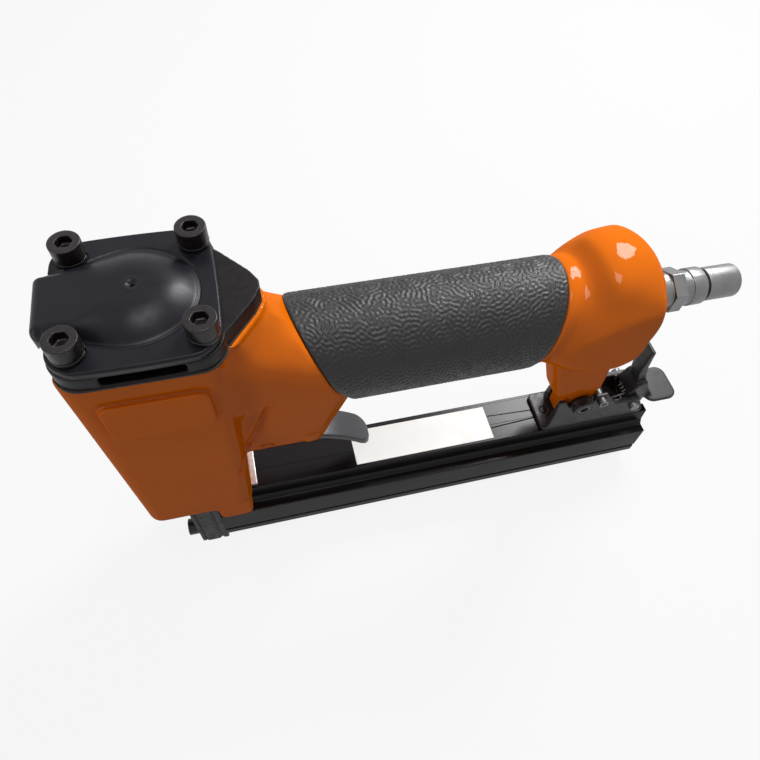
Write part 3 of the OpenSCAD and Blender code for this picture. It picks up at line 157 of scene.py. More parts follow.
# The look of each material slot: its colour, how much darker its mottling goes and how wide that is, its
# roughness from and to and how wide its patches are, and its grain's width and depth
FINISHES = {
    "body_enamel": dict(
        name="orange_enamel", colour=(0.70, 0.142, 0.001), shade=0.94, mottle_mm=25, gloss=(0.22, 0.30),
        gloss_mm=7, grain_mm=2.2, grain_depth_mm=0.015, Specular_IOR_Level=0, Coat_Weight=0.058,
        Coat_Roughness=0.05, Coat_IOR=2.5),
    "cap_paint": dict(
        name="cap_paint", colour=(0.010, 0.009, 0.013), shade=0.8, mottle_mm=8, gloss=(0.30, 0.38),
        gloss_mm=3, grain_mm=0.35, grain_depth_mm=0.010, Specular_IOR_Level=0.16),
    "plate_paint": dict(
        name="plate_paint", colour=(0.010, 0.008, 0.009), shade=0.7, mottle_mm=4, gloss=(0.36, 0.48),
        gloss_mm=2, grain_mm=0.4, grain_depth_mm=0.02, Specular_IOR_Level=0.15),
    "screw_oxide": dict(
        name="black_oxide", colour=(0.014, 0.010, 0.012), shade=0.7, mottle_mm=1.5, gloss=(0.26, 0.4),
        gloss_mm=1, grain_mm=0.25, grain_depth_mm=0.01, Specular_IOR_Level=0.3),
    "gasket_fibre": dict(
        name="gasket_fibre", colour=(0.022, 0.019, 0.016), shade=0.7, mottle_mm=1.2, gloss=(0.8, 0.9),
        gloss_mm=1, grain_mm=0.3, grain_depth_mm=0.03),
    "valve_alloy": dict(
        name="cast_alloy", colour=(0.55, 0.55, 0.54), shade=0.85, mottle_mm=3, gloss=(0.35, 0.5),
        gloss_mm=2, grain_mm=0.4, grain_depth_mm=0.01, Metallic=1),
    "inner_rubber": dict(
        name="seal_rubber", colour=(0.02, 0.02, 0.02), shade=0.8, mottle_mm=2, gloss=(0.55, 0.7),
        gloss_mm=1, grain_mm=0.3, grain_depth_mm=0.01),
    "spring_steel": dict(
        name="spring_steel", colour=(0.11, 0.105, 0.10), shade=0.7, mottle_mm=1.5, gloss=(0.28, 0.42),
        gloss_mm=1, grain_mm=0.2, grain_depth_mm=0.004, Metallic=0.8),
    "sleeve_steel": dict(
        name="honed_steel", colour=(0.5, 0.5, 0.49), shade=0.85, mottle_mm=3, gloss=(0.2, 0.32),
        gloss_mm=2, grain_mm=0.25, grain_depth_mm=0.004, Metallic=1),
    "grip_rubber": dict(
        name="grip_rubber", colour=(0.017, 0.017, 0.018), shade=0.75, mottle_mm=6, gloss=(0.42, 0.52),
        gloss_mm=2, grain_mm=0.22, grain_depth_mm=0.015, Specular_IOR_Level=0.36),
    "plug_steel": dict(
        name="plated_steel", colour=(0.20, 0.20, 0.20), shade=0.88, mottle_mm=6, gloss=(0.38, 0.46),
        gloss_mm=3, grain_mm=0.2, grain_depth_mm=0.002, stretch=(0.2, 1, 1), Metallic=1),
    "valve_brass": dict(
        name="brass", colour=(0.62, 0.42, 0.16), shade=0.8, mottle_mm=2, gloss=(0.25, 0.4), gloss_mm=1,
        grain_mm=0.3, grain_depth_mm=0.006, Metallic=1),
    "trigger_grey": dict(
        name="trigger_paint", colour=(0.046, 0.048, 0.054), shade=0.85, mottle_mm=6, gloss=(0.3, 0.4),
        gloss_mm=2, grain_mm=0.4, grain_depth_mm=0.008, Specular_IOR_Level=0.4),
    "nose_black": dict(
        name="nose_black", colour=(0.016, 0.013, 0.015), shade=0.75, mottle_mm=3, gloss=(0.4, 0.55),
        gloss_mm=2, grain_mm=0.3, grain_depth_mm=0.012, Specular_IOR_Level=0.14),
    "magazine_black": dict(
        name="magazine_anodised", colour=(0.011, 0.009, 0.010), shade=0.8, mottle_mm=10,
        gloss=(0.24, 0.34), gloss_mm=5, grain_mm=0.3, grain_depth_mm=0.005, stretch=(6, 1, 1),
        Specular_IOR_Level=0.03, Coat_Weight=0.06, Coat_Roughness=0.2, Coat_IOR=2.5),
    "seat_bright": dict(
        name="bright_metal", colour=(0.72, 0.70, 0.68), shade=0.85, mottle_mm=3, gloss=(0.3, 0.42),
        gloss_mm=1.5, grain_mm=0.2, grain_depth_mm=0.004, Metallic=1),
    "label_white": dict(
        name="label_white", colour=(0.96, 0.96, 0.94), shade=0.98, mottle_mm=14, gloss=(0.35, 0.5),
        gloss_mm=5, grain_mm=0.3, grain_depth_mm=0.003),
    "rail_steel": dict(
        name="rail_steel", colour=(0.36, 0.36, 0.36), shade=0.8, mottle_mm=5, gloss=(0.3, 0.42),
        gloss_mm=3, grain_mm=0.3, grain_depth_mm=0.005, stretch=(6, 1, 1), Metallic=1),
    "drawer_black": dict(
        name="drawer_black", colour=(0.016, 0.014, 0.015), shade=0.75, mottle_mm=4, gloss=(0.4, 0.55),
        gloss_mm=2, grain_mm=0.3, grain_depth_mm=0.012),
    "bracket_black": dict(
        name="bracket_black", colour=(0.034, 0.030, 0.031), shade=0.75, mottle_mm=3, gloss=(0.34, 0.48),
        gloss_mm=2, grain_mm=0.4, grain_depth_mm=0.012, Specular_IOR_Level=0.28),
    "pin_steel": dict(
        name="pin_steel", colour=(0.16, 0.16, 0.155), shade=0.75, mottle_mm=1.5, gloss=(0.3, 0.45),
        gloss_mm=1, grain_mm=0.2, grain_depth_mm=0.004, Metallic=1),
    "latch_grey": dict(
        name="latch_paint", colour=(0.022, 0.023, 0.025), shade=0.85, mottle_mm=4, gloss=(0.34, 0.46),
        gloss_mm=2, grain_mm=0.4, grain_depth_mm=0.01, Specular_IOR_Level=0.25),
}


def make_finishes():
    """One finish for each material slot of the record."""
    return {slot: finish(**look) for slot, look in FINISHES.items()}


# Mesh helpers
RELAX_STEP = 0.5
PLUG_SIDES = 24


def body_of(node):
    """The body that a CAD node moves with."""
    return next(body for body, parts in frame["record"]["behaviour"]["bodies"].items() if node in parts)


def shown_object(name, mesh, body, slot, *stands_for):
    """A finished piece that rides on a body and stands for CAD nodes."""
    piece = bpy.data.objects.new(name, mesh)
    bpy.context.scene.collection.objects.link(piece)
    mesh.materials.clear()
    mesh.materials.append(finishes[slot])
    mesh.polygons.foreach_set("use_smooth", np.ones(len(mesh.polygons), bool))
    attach(piece, body)
    if stands_for:
        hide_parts(*stands_for)
    return piece


def box_mm(node):
    """Lowest and highest corners of a CAD node at rest, in mm."""
    return [np.array(corner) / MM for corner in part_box(node)]


def points_of(mesh):
    flat = np.empty(len(mesh.vertices) * 3)
    mesh.vertices.foreach_get("co", flat)
    return flat.reshape(-1, 3) / MM


def set_points(mesh, points):
    mesh.vertices.foreach_set("co", (points * MM).ravel())
    mesh.update()


def relax(mesh, points, rounds, share=None):
    """Evens each point out towards its neighbours, which rounds edges and fills creases."""
    ends = np.empty(len(mesh.edges) * 2, np.int32)
    mesh.edges.foreach_get("vertices", ends)
    a, b = ends.reshape(-1, 2).T
    if share is not None:
        live = (share[a] > 0) | (share[b] > 0)
        a, b = a[live], b[live]
    total = len(points)
    count = np.maximum(np.bincount(a, minlength=total) + np.bincount(b, minlength=total), 1)
    pull = RELAX_STEP if share is None else RELAX_STEP * share[:, None]
    for _ in range(rounds):
        mean = np.stack([np.bincount(a, points[b, k], total) + np.bincount(b, points[a, k], total)
                         for k in range(3)], 1) / count[:, None]
        points = points + (mean - points) * pull
    return points


def remeshed(node, voxel_mm, plugs=(), hulls=()):
    """A closed copy of a CAD node with even small faces.

    Rods (x, y, z0, z1, r) plug its holes, and the hulls of lists of corners are joined to it.
    """
    source = bpy.data.objects.new("source", nodes[node].data.copy())
    bpy.context.scene.collection.objects.link(source)
    filled = bmesh.new()
    filled.from_mesh(source.data)
    for x, y, low, high, radius in plugs:
        place = Matrix.Translation(Vector((x, y, (low + high) / 2)) * MM)
        bmesh.ops.create_cone(filled, cap_ends=True, segments=PLUG_SIDES, radius1=radius * MM,
                              radius2=radius * MM, depth=(high - low) * MM, matrix=place)
    for corners in hulls:
        made = [filled.verts.new(Vector(corner) * MM) for corner in corners]
        bmesh.ops.convex_hull(filled, input=made)
    filled.to_mesh(source.data)
    filled.free()
    cells = source.modifiers.new("cells", "REMESH")
    cells.mode = "VOXEL"
    cells.voxel_size = voxel_mm * MM
    graph = bpy.context.evaluated_depsgraph_get()
    mesh = bpy.data.meshes.new_from_object(source.evaluated_get(graph))
    bpy.data.objects.remove(source)
    return mesh


def softened(node, voxel_mm, rounds, shape=None):
    """A CAD node with its edges rounded, and reshaped by shape(points) where it is given."""
    mesh = remeshed(node, voxel_mm)
    points = points_of(mesh)
    if shape is not None:
        points = shape(points)
    set_points(mesh, relax(mesh, points, rounds))
    return shown_object(node + "_cast", mesh, body_of(node), slots[node], node)


def grid_mesh(name, rows, closed_round, closed_along=False):
    """A mesh from rows of points, in mm; each row is a ring if closed_round is set."""
    rows = np.asarray(rows, float)
    count, width = rows.shape[:2]
    faces = []
    for i in range(count if closed_along else count - 1):
        for j in range(width if closed_round else width - 1):
            near, far = i * width, (i + 1) % count * width
            step = (j + 1) % width
            faces.append((near + j, near + step, far + step, far + j))
    mesh = bpy.data.meshes.new(name)
    mesh.from_pydata((rows.reshape(-1, 3) * MM).tolist(), [], faces)
    mesh.update()
    return mesh


# Shapes and distances, in mm
def smooth_step(t):
    t = np.clip(t, 0, 1)
    return t * t * (3 - 2 * t)


def box_distance(x, y, low, high, corner):
    """Signed distance to a rounded rectangle, below zero inside it."""
    middle, half = (low + high) / 2, (high - low) / 2 - corner
    out = np.stack([np.abs(x - middle[0]) - half[0], np.abs(y - middle[1]) - half[1]])
    return np.hypot(*np.maximum(out, 0)) + np.minimum(out.max(0), 0) - corner


def soft_union(a, b, blend):
    """The nearer of two distances, with the valley between them filled."""
    share = np.clip(0.5 + 0.5 * (b - a) / blend, 0, 1)
    return b + (a - b) * share - blend * share * (1 - share)


def line_distance(x, z, start, end):
    """Distance to a straight stretch from start to end."""
    start, way = np.array(start), np.subtract(end, start)
    share = np.clip(((x - start[0]) * way[0] + (z - start[1]) * way[1]) / (way @ way), 0, 1)
    return np.hypot(x - start[0] - share * way[0], z - start[1] - share * way[1])


def normals_of(mesh):
    flat = np.empty(len(mesh.vertices) * 3)
    mesh.vertex_normals.foreach_get("vector", flat)
    return flat.reshape(-1, 3)


# The casting: rounded edges, crisp panels, a valley behind the head, a step on the housing's sides,
# a rim under the head plate's tail, and a drum with a hollow in front of it
# Its cells, the rounds of relaxing, and the share of it that crisp places get
BODY_CELL_MM = 0.5
BODY_ROUNDS = 20
BODY_CALM = 0.12
# The plugs in the holes of the cap's screws
WASHER_R_MM = 4.3
PLUG_R_MM = 3
PLUG_OVER_MM = 1
# The bare panels on the head's sides
PANEL_LOW_CORNER_MM = np.array([-15.5, 111])
PANEL_HIGH_CORNER_MM = np.array([13.5, 128])
PANEL_CORNER_MM = 3
PANEL_NEAR_MM = 2.5
PANEL_ASIDE_MM = 15
PANEL_RISE_MM = 0.25
PANEL_GROOVE_MM = 0.3
PANEL_GROOVE_WIDE_MM = 0.6
# Reach of the crisp places at the top and at the grip's ends
SEAM_CALM_MM = 2.5
# How far from the middle, and how turned to the side, a surface is that takes side marks
ASIDE_MM = 8
ASIDE_BLEND_MM = 2
ASIDE_TURN = 0.3
# The valley between the head and the trigger housing
VALLEY_LOW_MM = (14.8, 67)
VALLEY_HIGH_MM = (28.3, 104)
VALLEY_WIDE_MM = 1.1
VALLEY_DEEP_MM = 0.95
# The step on the trigger housing's sides
STEP_FRONT_MM, STEP_HIGH_MM = 38.6, 97.4
STEP_REAR_MM = 66
STEP_ASIDE_MM = 12.5
STEP_CORNER_MM = 9
STEP_RISE_MM = 0.5
STEP_WIDE_MM = 0.8
# The rim under the head plate's tail
RIM_FROM_MM = 14
RIM_BLEND_MM = 4
RIM_HIGH_MM = 2.4
RIM_OUT_MM = 0.3
# The neck's wall up to the tail's edge, and the smoothing of the neck's sides
NECK_RIM_MM = 0.5
NECK_FRONT_MM = 17
NECK_REAR_MM = 31
NECK_LOW_MM = 112
NECK_HALF_W_MM = 15.5
NECK_ROUNDS = 160
NECK_ALONG_MM = (16.5, 40)
NECK_FADE_MM = 3
NECK_BOTTOM_MM = 76
NECK_ASIDE_MM = 4
# The hollow behind the grip
HOLLOW_MM = 1.6
HOLLOW_IN_MM = 5
HOLLOW_OUT_MM = 12
# The drum at the rear: its skin, flat top and upright lower rear
DRUM_SKIN_MM = 15
DRUM_BLEND_MM = 3
DRUM_SWELL_MM = 2.2
DRUM_SLOPE = 0.24
DRUM_CREST_MM = 140
DRUM_BEND_MM = 3
DRUM_RISE_MM = (131, 139)
DRUM_FALL_MM = (154, 160)
DRUM_TOP_SHARES = (0.64, 0.94)
DRUM_UPRIGHT_MM = (138, 150)
DRUM_UPRIGHT = 0.42
DRUM_ASIDE_MM = (6, 11)
# Room for the head valve
BORE_ROOM_MM = 0.4
BORE_NEAR_MM = 1


def grip_axis():
    """Height of the handle's axis and the grip's radius."""
    low, high = box_mm("grip_sleeve")
    return (low[2] + high[2]) / 2, (high[1] - low[1]) / 2


def crisp_places(points):
    """1 where the casting's edges stay crisp: round the panels, at its top and at the grip's ends."""
    x, y, z = points.T
    axis_z, radius = grip_axis()
    away = box_distance(x, z, PANEL_LOW_CORNER_MM, PANEL_HIGH_CORNER_MM, PANEL_CORNER_MM)
    panel = (np.abs(y) > PANEL_ASIDE_MM) * (1 - smooth_step((away - PANEL_NEAR_MM) / PANEL_NEAR_MM))
    top = smooth_step((z - box_mm("main_body")[1][2]) / SEAM_CALM_MM + 1)
    around = np.arctan2(y, z - axis_z)
    ends = sleeve_ends(points_of(nodes["grip_sleeve"].data), axis_z, around)
    seam = np.exp(-(np.minimum(np.abs(x - ends[0]), np.abs(x - ends[1])) / SEAM_CALM_MM) ** 2)
    seam = seam * (np.hypot(y, z - axis_z) < radius)
    return np.maximum(np.maximum(panel, top), seam)


def side_marks(points, normals):
    """The panels' edges, the valley behind the head, and the step on the trigger housing's sides."""
    x, y, z = points.T
    aside = smooth_step((np.abs(y) - ASIDE_MM) / ASIDE_BLEND_MM) * (np.abs(normals[:, 1]) > ASIDE_TURN)
    valley = np.exp(-(line_distance(x, z, VALLEY_LOW_MM, VALLEY_HIGH_MM) / VALLEY_WIDE_MM) ** 2)
    step = box_distance(x, z, np.array([STEP_FRONT_MM, 0]),
                        np.array([2 * STEP_HIGH_MM, STEP_HIGH_MM]), STEP_CORNER_MM)
    flank = (np.abs(y) < STEP_ASIDE_MM) * (x < STEP_REAR_MM) * smooth_step(0.5 - step / STEP_WIDE_MM)
    away = box_distance(x, z, PANEL_LOW_CORNER_MM, PANEL_HIGH_CORNER_MM, PANEL_CORNER_MM)
    panel = PANEL_RISE_MM * smooth_step(0.5 - away / PANEL_GROOVE_WIDE_MM)
    panel = panel - PANEL_GROOVE_MM * np.exp(-(away / PANEL_GROOVE_WIDE_MM - 1) ** 2)
    panel = (np.abs(y) > PANEL_ASIDE_MM) * panel
    return aside * (STEP_RISE_MM * flank + panel - VALLEY_DEEP_MM * valley)


def drum_shape(points):
    """The hollow just behind the grip, and the flat top of the drum that follows it."""
    x, y, z = points.T
    axis_z, radius = grip_axis()
    from_axis = np.hypot(y, z - axis_z)
    around = np.arctan2(y, z - axis_z)
    behind = x - sleeve_ends(points_of(nodes["grip_sleeve"].data), axis_z, around)[1]
    skin = smooth_step((from_axis - DRUM_SKIN_MM) / DRUM_BLEND_MM)
    skin = skin * smooth_step((z - axis_z + radius) / DRUM_BLEND_MM)
    dip = smooth_step(behind / HOLLOW_IN_MM) * (1 - smooth_step((behind - HOLLOW_IN_MM) / HOLLOW_OUT_MM))
    rise = smooth_step((x - DRUM_RISE_MM[0]) / np.ptp(DRUM_RISE_MM))
    fall = smooth_step((x - DRUM_FALL_MM[0]) / np.ptp(DRUM_FALL_MM))
    top = smooth_step((np.cos(around) - DRUM_TOP_SHARES[0]) / np.ptp(DRUM_TOP_SHARES))
    past = x - DRUM_CREST_MM
    swell = DRUM_SWELL_MM - DRUM_SLOPE * (past + np.hypot(past, DRUM_BEND_MM)) / 2
    return skin * (swell * top * rise * (1 - fall) - HOLLOW_MM * dip)


def upright_rear(points):
    """How far the drum's lower half goes to the rear, so that its rear stands upright."""
    x, y, z = points.T
    below = np.maximum(grip_axis()[0] - z, 0)
    share = smooth_step((x - DRUM_UPRIGHT_MM[0]) / np.ptp(DRUM_UPRIGHT_MM))
    share = share * smooth_step((np.abs(y) - DRUM_ASIDE_MM[0]) / np.ptp(DRUM_ASIDE_MM))
    return DRUM_UPRIGHT * share * below


def clear_bore(points):
    """Widens the casting's bore a little where the head valve and its seal slide."""
    low, high = box_mm("head_valve_seal")
    from_axis = np.hypot(points[:, 0], points[:, 1])
    wide = high[1] + BORE_ROOM_MM
    near = (from_axis > high[1] - BORE_NEAR_MM) & (from_axis < wide) & (points[:, 2] > low[2] - BORE_NEAR_MM)
    scale = np.where(near, wide / np.maximum(from_axis, BORE_NEAR_MM), 1)
    return points * np.stack([scale, scale, 1 + 0 * scale], 1)


def neck_corners():
    """Corners of the wall that rises from the neck to the edge of the head plate's tail."""
    body_top = box_mm("main_body")[1][2]
    tail = points_of(nodes["head_gasket"].data)
    tail = tail[tail[:, 0] > box_mm("top_cap")[1][0]]
    widest = np.abs(tail[:, 1]).max() + NECK_RIM_MM
    corners = [(x + NECK_RIM_MM, y + math.copysign(NECK_RIM_MM, y), body_top) for x, y, _ in tail]
    for side in (-1, 1):
        corners += [(NECK_FRONT_MM, side * widest, body_top),
                    (NECK_FRONT_MM, side * NECK_HALF_W_MM, NECK_LOW_MM),
                    (NECK_REAR_MM, side * NECK_HALF_W_MM, NECK_LOW_MM)]
    return sorted(set((round(x, 3), round(y, 3), round(z, 3)) for x, y, z in corners))


def neck_sides(points):
    """1 on the sides between the head and the grip, where the casting's forms run into each other."""
    x, y, z = points.T
    along = smooth_step((x - NECK_ALONG_MM[0]) / NECK_FADE_MM)
    along = along * smooth_step((NECK_ALONG_MM[1] - x) / NECK_FADE_MM)
    above = smooth_step((z - NECK_BOTTOM_MM) / NECK_FADE_MM)
    return along * above * smooth_step((np.abs(y) - NECK_ASIDE_MM) / NECK_FADE_MM)


def collar_shift(points):
    """How far the casting's collar goes to the rear where the grip's front end does."""
    x, y, z = points.T
    axis_z, radius = grip_axis()
    around = np.arctan2(y, z - axis_z)
    front = sleeve_ends(points_of(nodes["grip_sleeve"].data), axis_z, around)[0] - grip_dip(around)
    outer = smooth_step((np.hypot(y, z - axis_z) - DRUM_SKIN_MM) / (radius - DRUM_SKIN_MM) / COLLAR_BLEND)
    return outer * grip_dip(around) * np.exp(-((x - front) / GRIP_DIP_REACH_MM) ** 2)


def rim(points, normals):
    """A thin lip that stands out round the casting's top, behind the head."""
    x, _, z = points.T
    high = smooth_step((z - box_mm("main_body")[1][2]) / RIM_HIGH_MM + 1)
    share = high * smooth_step((x - RIM_FROM_MM) / RIM_BLEND_MM)
    return RIM_OUT_MM * share[:, None] * normals * np.array([1, 1, 0])


def build_body():
    body_top = box_mm("main_body")[1][2]
    screws_low = box_mm("cap_screws")[0][2] - PLUG_OVER_MM
    inset = box_mm("cap_lock_washers")[1][0] - WASHER_R_MM
    plugs = [(sx * inset, sy * inset, screws_low, body_top - BODY_CELL_MM, PLUG_R_MM)
             for sx in (-1, 1) for sy in (-1, 1)]
    mesh = remeshed("main_body", BODY_CELL_MM, plugs, [neck_corners()])
    points = points_of(mesh)
    points[:, 0] += collar_shift(points) + upright_rear(points)
    crisp = crisp_places(points)
    points = relax(mesh, points, BODY_ROUNDS, 1 - (1 - BODY_CALM) * crisp)
    points = relax(mesh, points, NECK_ROUNDS, (1 - crisp) * neck_sides(points))
    set_points(mesh, points)
    normals = normals_of(mesh)
    raised = side_marks(points, normals) + drum_shape(points)
    set_points(mesh, clear_bore(points + normals * raised[:, None] + rim(points, normals)))
    return shown_object("main_body_cast", mesh, "stapler", slots["main_body"], "main_body")


# The grip: a rubber sleeve cut on two slants, with a wrinkled grain in its surface
# Its cells, its wrinkles' width and depth, its rounded ends and its seam
GRIP_CELL_MM = 0.3
GRIP_WRINKLE_MM = 1.55
GRIP_GRAIN_MM = 0.12
GRIP_LIP_MM = 1.2
GRIP_SEAM_MM = 0.22
GRIP_SEED = 11
# How its front end lies further to the rear, low on the near side, and the collar with it
GRIP_DIP_MM = 2.2
GRIP_DIP_AT = math.radians(-140)
GRIP_DIP_FROM = 0.5
GRIP_DIP_REACH_MM = 6
COLLAR_BLEND = 0.5
# Share of the radius from which a point is on the sleeve's outside
SLEEVE_SKIN = 0.98
# How alike the wrinkles are in width, and how they are sharpened
WRINKLE_BAND = 0.42
WRINKLE_ROUNDS = 5
WRINKLE_PUSH = 1.3


def wrinkles(tall, wide, cell_mm, size_mm):
    """A field of short worm-like wrinkles that repeats at its edges, from -1 to 1."""
    field = np.random.default_rng(GRIP_SEED).standard_normal((tall, wide))
    wave_y = np.fft.fftfreq(tall, cell_mm)[:, None]
    wave_x = np.fft.fftfreq(wide, cell_mm)[None, :]
    wave = np.hypot(wave_x, wave_y) * size_mm
    band = np.exp(-((wave - 1) / WRINKLE_BAND) ** 2)
    for _ in range(WRINKLE_ROUNDS):
        field = np.fft.ifft2(np.fft.fft2(field) * band).real
        field = np.tanh(WRINKLE_PUSH * field / field.std())
    return field


def grip_dip(around):
    """How much further to the rear the sleeve's front end lies, low on its near side."""
    return GRIP_DIP_MM * smooth_step((np.cos(around - GRIP_DIP_AT) - GRIP_DIP_FROM) / (1 - GRIP_DIP_FROM))


def sleeve_ends(points, axis_z, around):
    """Front and rear of the sleeve at each angle, from the two planes that cut it."""
    from_axis = np.hypot(points[:, 1], points[:, 2] - axis_z)
    outer = points[from_axis > SLEEVE_SKIN * np.ptp(points[:, 1]) / 2]
    angle = np.arctan2(outer[:, 1], outer[:, 2] - axis_z)
    basis = np.stack([np.ones(len(angle)), np.cos(angle), np.sin(angle)], 1)
    wanted = np.stack([np.ones(len(around)), np.cos(around), np.sin(around)], 1)
    middle = (outer[:, 0].min() + outer[:, 0].max()) / 2
    ends = []
    for side in (outer[:, 0] < middle, outer[:, 0] > middle):
        ends.append(wanted @ np.linalg.lstsq(basis[side], outer[side, 0], rcond=None)[0])
    ends[0] = ends[0] + grip_dip(around)
    return ends


def build_grip():
    low, high = box_mm("grip_sleeve")
    axis_z, radius = grip_axis()
    wide = int(2 * math.pi * radius / GRIP_CELL_MM)
    tall = int((high[0] - low[0]) / GRIP_CELL_MM)
    around = np.linspace(0, 2 * math.pi, wide, endpoint=False)
    front, rear = sleeve_ends(points_of(nodes["grip_sleeve"].data), axis_z, around)
    longest = around[np.argmax(rear - front)]
    seam_way = (around - longest + math.pi) % (2 * math.pi) - math.pi
    seam = GRIP_SEAM_MM * np.exp(-(seam_way * radius / GRIP_SEAM_MM) ** 2)
    grain = wrinkles(tall, wide, GRIP_CELL_MM, GRIP_WRINKLE_MM)
    rows = []
    for i in range(tall):
        x = front + (rear - front) * i / (tall - 1)
        inset = np.minimum(x - front, rear - x)
        edge = np.clip(1 - inset / GRIP_LIP_MM, 0, 1)
        lip = GRIP_LIP_MM * (1 - np.sqrt(np.maximum(1 - edge ** 2, 0)))
        settle = np.clip(inset / (2 * GRIP_LIP_MM), 0, 1)
        r = radius - GRIP_GRAIN_MM + GRIP_GRAIN_MM * grain[i] * settle - lip - seam
        rows.append(np.stack([x, r * np.sin(around), axis_z + r * np.cos(around)], 1))
    mouth = radius - 2 * GRIP_LIP_MM
    ring = np.stack([0 * around, mouth * np.sin(around), axis_z + mouth * np.cos(around)], 1)
    rows.insert(0, ring + np.stack([front, 0 * front, 0 * front], 1))
    rows.append(ring + np.stack([rear, 0 * rear, 0 * rear], 1))
    mesh = grid_mesh("grip", rows, True, True)
    return shown_object("grip_rubber_sleeve", mesh, "stapler", "grip_rubber", "grip_sleeve")


# The cap: a plate with a pressed pan, made of the dome and the hood that runs to its front
# Its edge, its mesh, its corners and the bow of its sides
CAP_ROUND_MM = 0.7
CAP_RINGS = 120
CAP_SPOKES = 900
CAP_DENSER = 1.4
CAP_CORNER_MM = 7.5
CAP_BOW_MM = 0.9
CAP_HALVINGS = 40
CAP_FARTHEST = 3
# The dome, and the lip that hangs over the front
DOME_R_MM = 13.8
LIP_HALF_W_MM = 10.4
LIP_ROUND_MM = 2.6
LIP_CORNER_MM = 2.5
LIP_BLEND_MM = 1.5
LIP_DROP_MM = 2.1
LIP_T_MM = 2.9
# The pan: the hood's width, how it falls to the front, and its slopes and blends
PAN_HALF_W_MM = 9.0
PAN_CORNER_MM = 3.7
PAN_FALL = 0.42
PAN_FOOT_MM = 1.6
PAN_SLOPE_MM = 11.0
HOOD_SLOPE_MM = 3.2
HOOD_FROM_MM, HOOD_TO_MM = -3, -16
PAN_BLEND_MM = 9.0
PAN_REACH_MM = 9.0
FOOT_BLEND = 0.03
# The groove round the pan, and the dimple on the dome
GROOVE_MM = 0.35
GROOVE_OUT_MM = 2.5
DIMPLE_MM = 0.9
DIMPLE_RIM_MM = 0.12
DIMPLE_RIM_AT = 2
DIMPLE_RIM_WIDE = 0.6


def bowed_distance(x, y, low, high, corner, bow):
    """Distance to a rounded rectangle whose sides touch its box only in their middle."""
    middle, half = (low + high) / 2, (high - low) / 2
    along = np.clip((x - middle[0]) / half[0], -1, 1)
    across = np.clip((y - middle[1]) / half[1], -1, 1)
    wide_x = middle[0] + (x - middle[0]) * half[0] / (half[0] - bow * across ** 2)
    wide_y = middle[1] + (y - middle[1]) * half[1] / (half[1] - bow * along ** 2)
    return box_distance(wide_x, wide_y, low, high, corner)


def bowed_plate(points):
    """Draws the head plate's sides in towards its ends, as the cap's are."""
    low, high = box_mm("head_plate")
    reach = np.clip(points[:, 0] / low[0], -1, 1)
    share = CAP_BOW_MM * reach ** 2 / high[1]
    return points * np.stack([1 + 0 * share, 1 - share, 1 + 0 * share], 1)


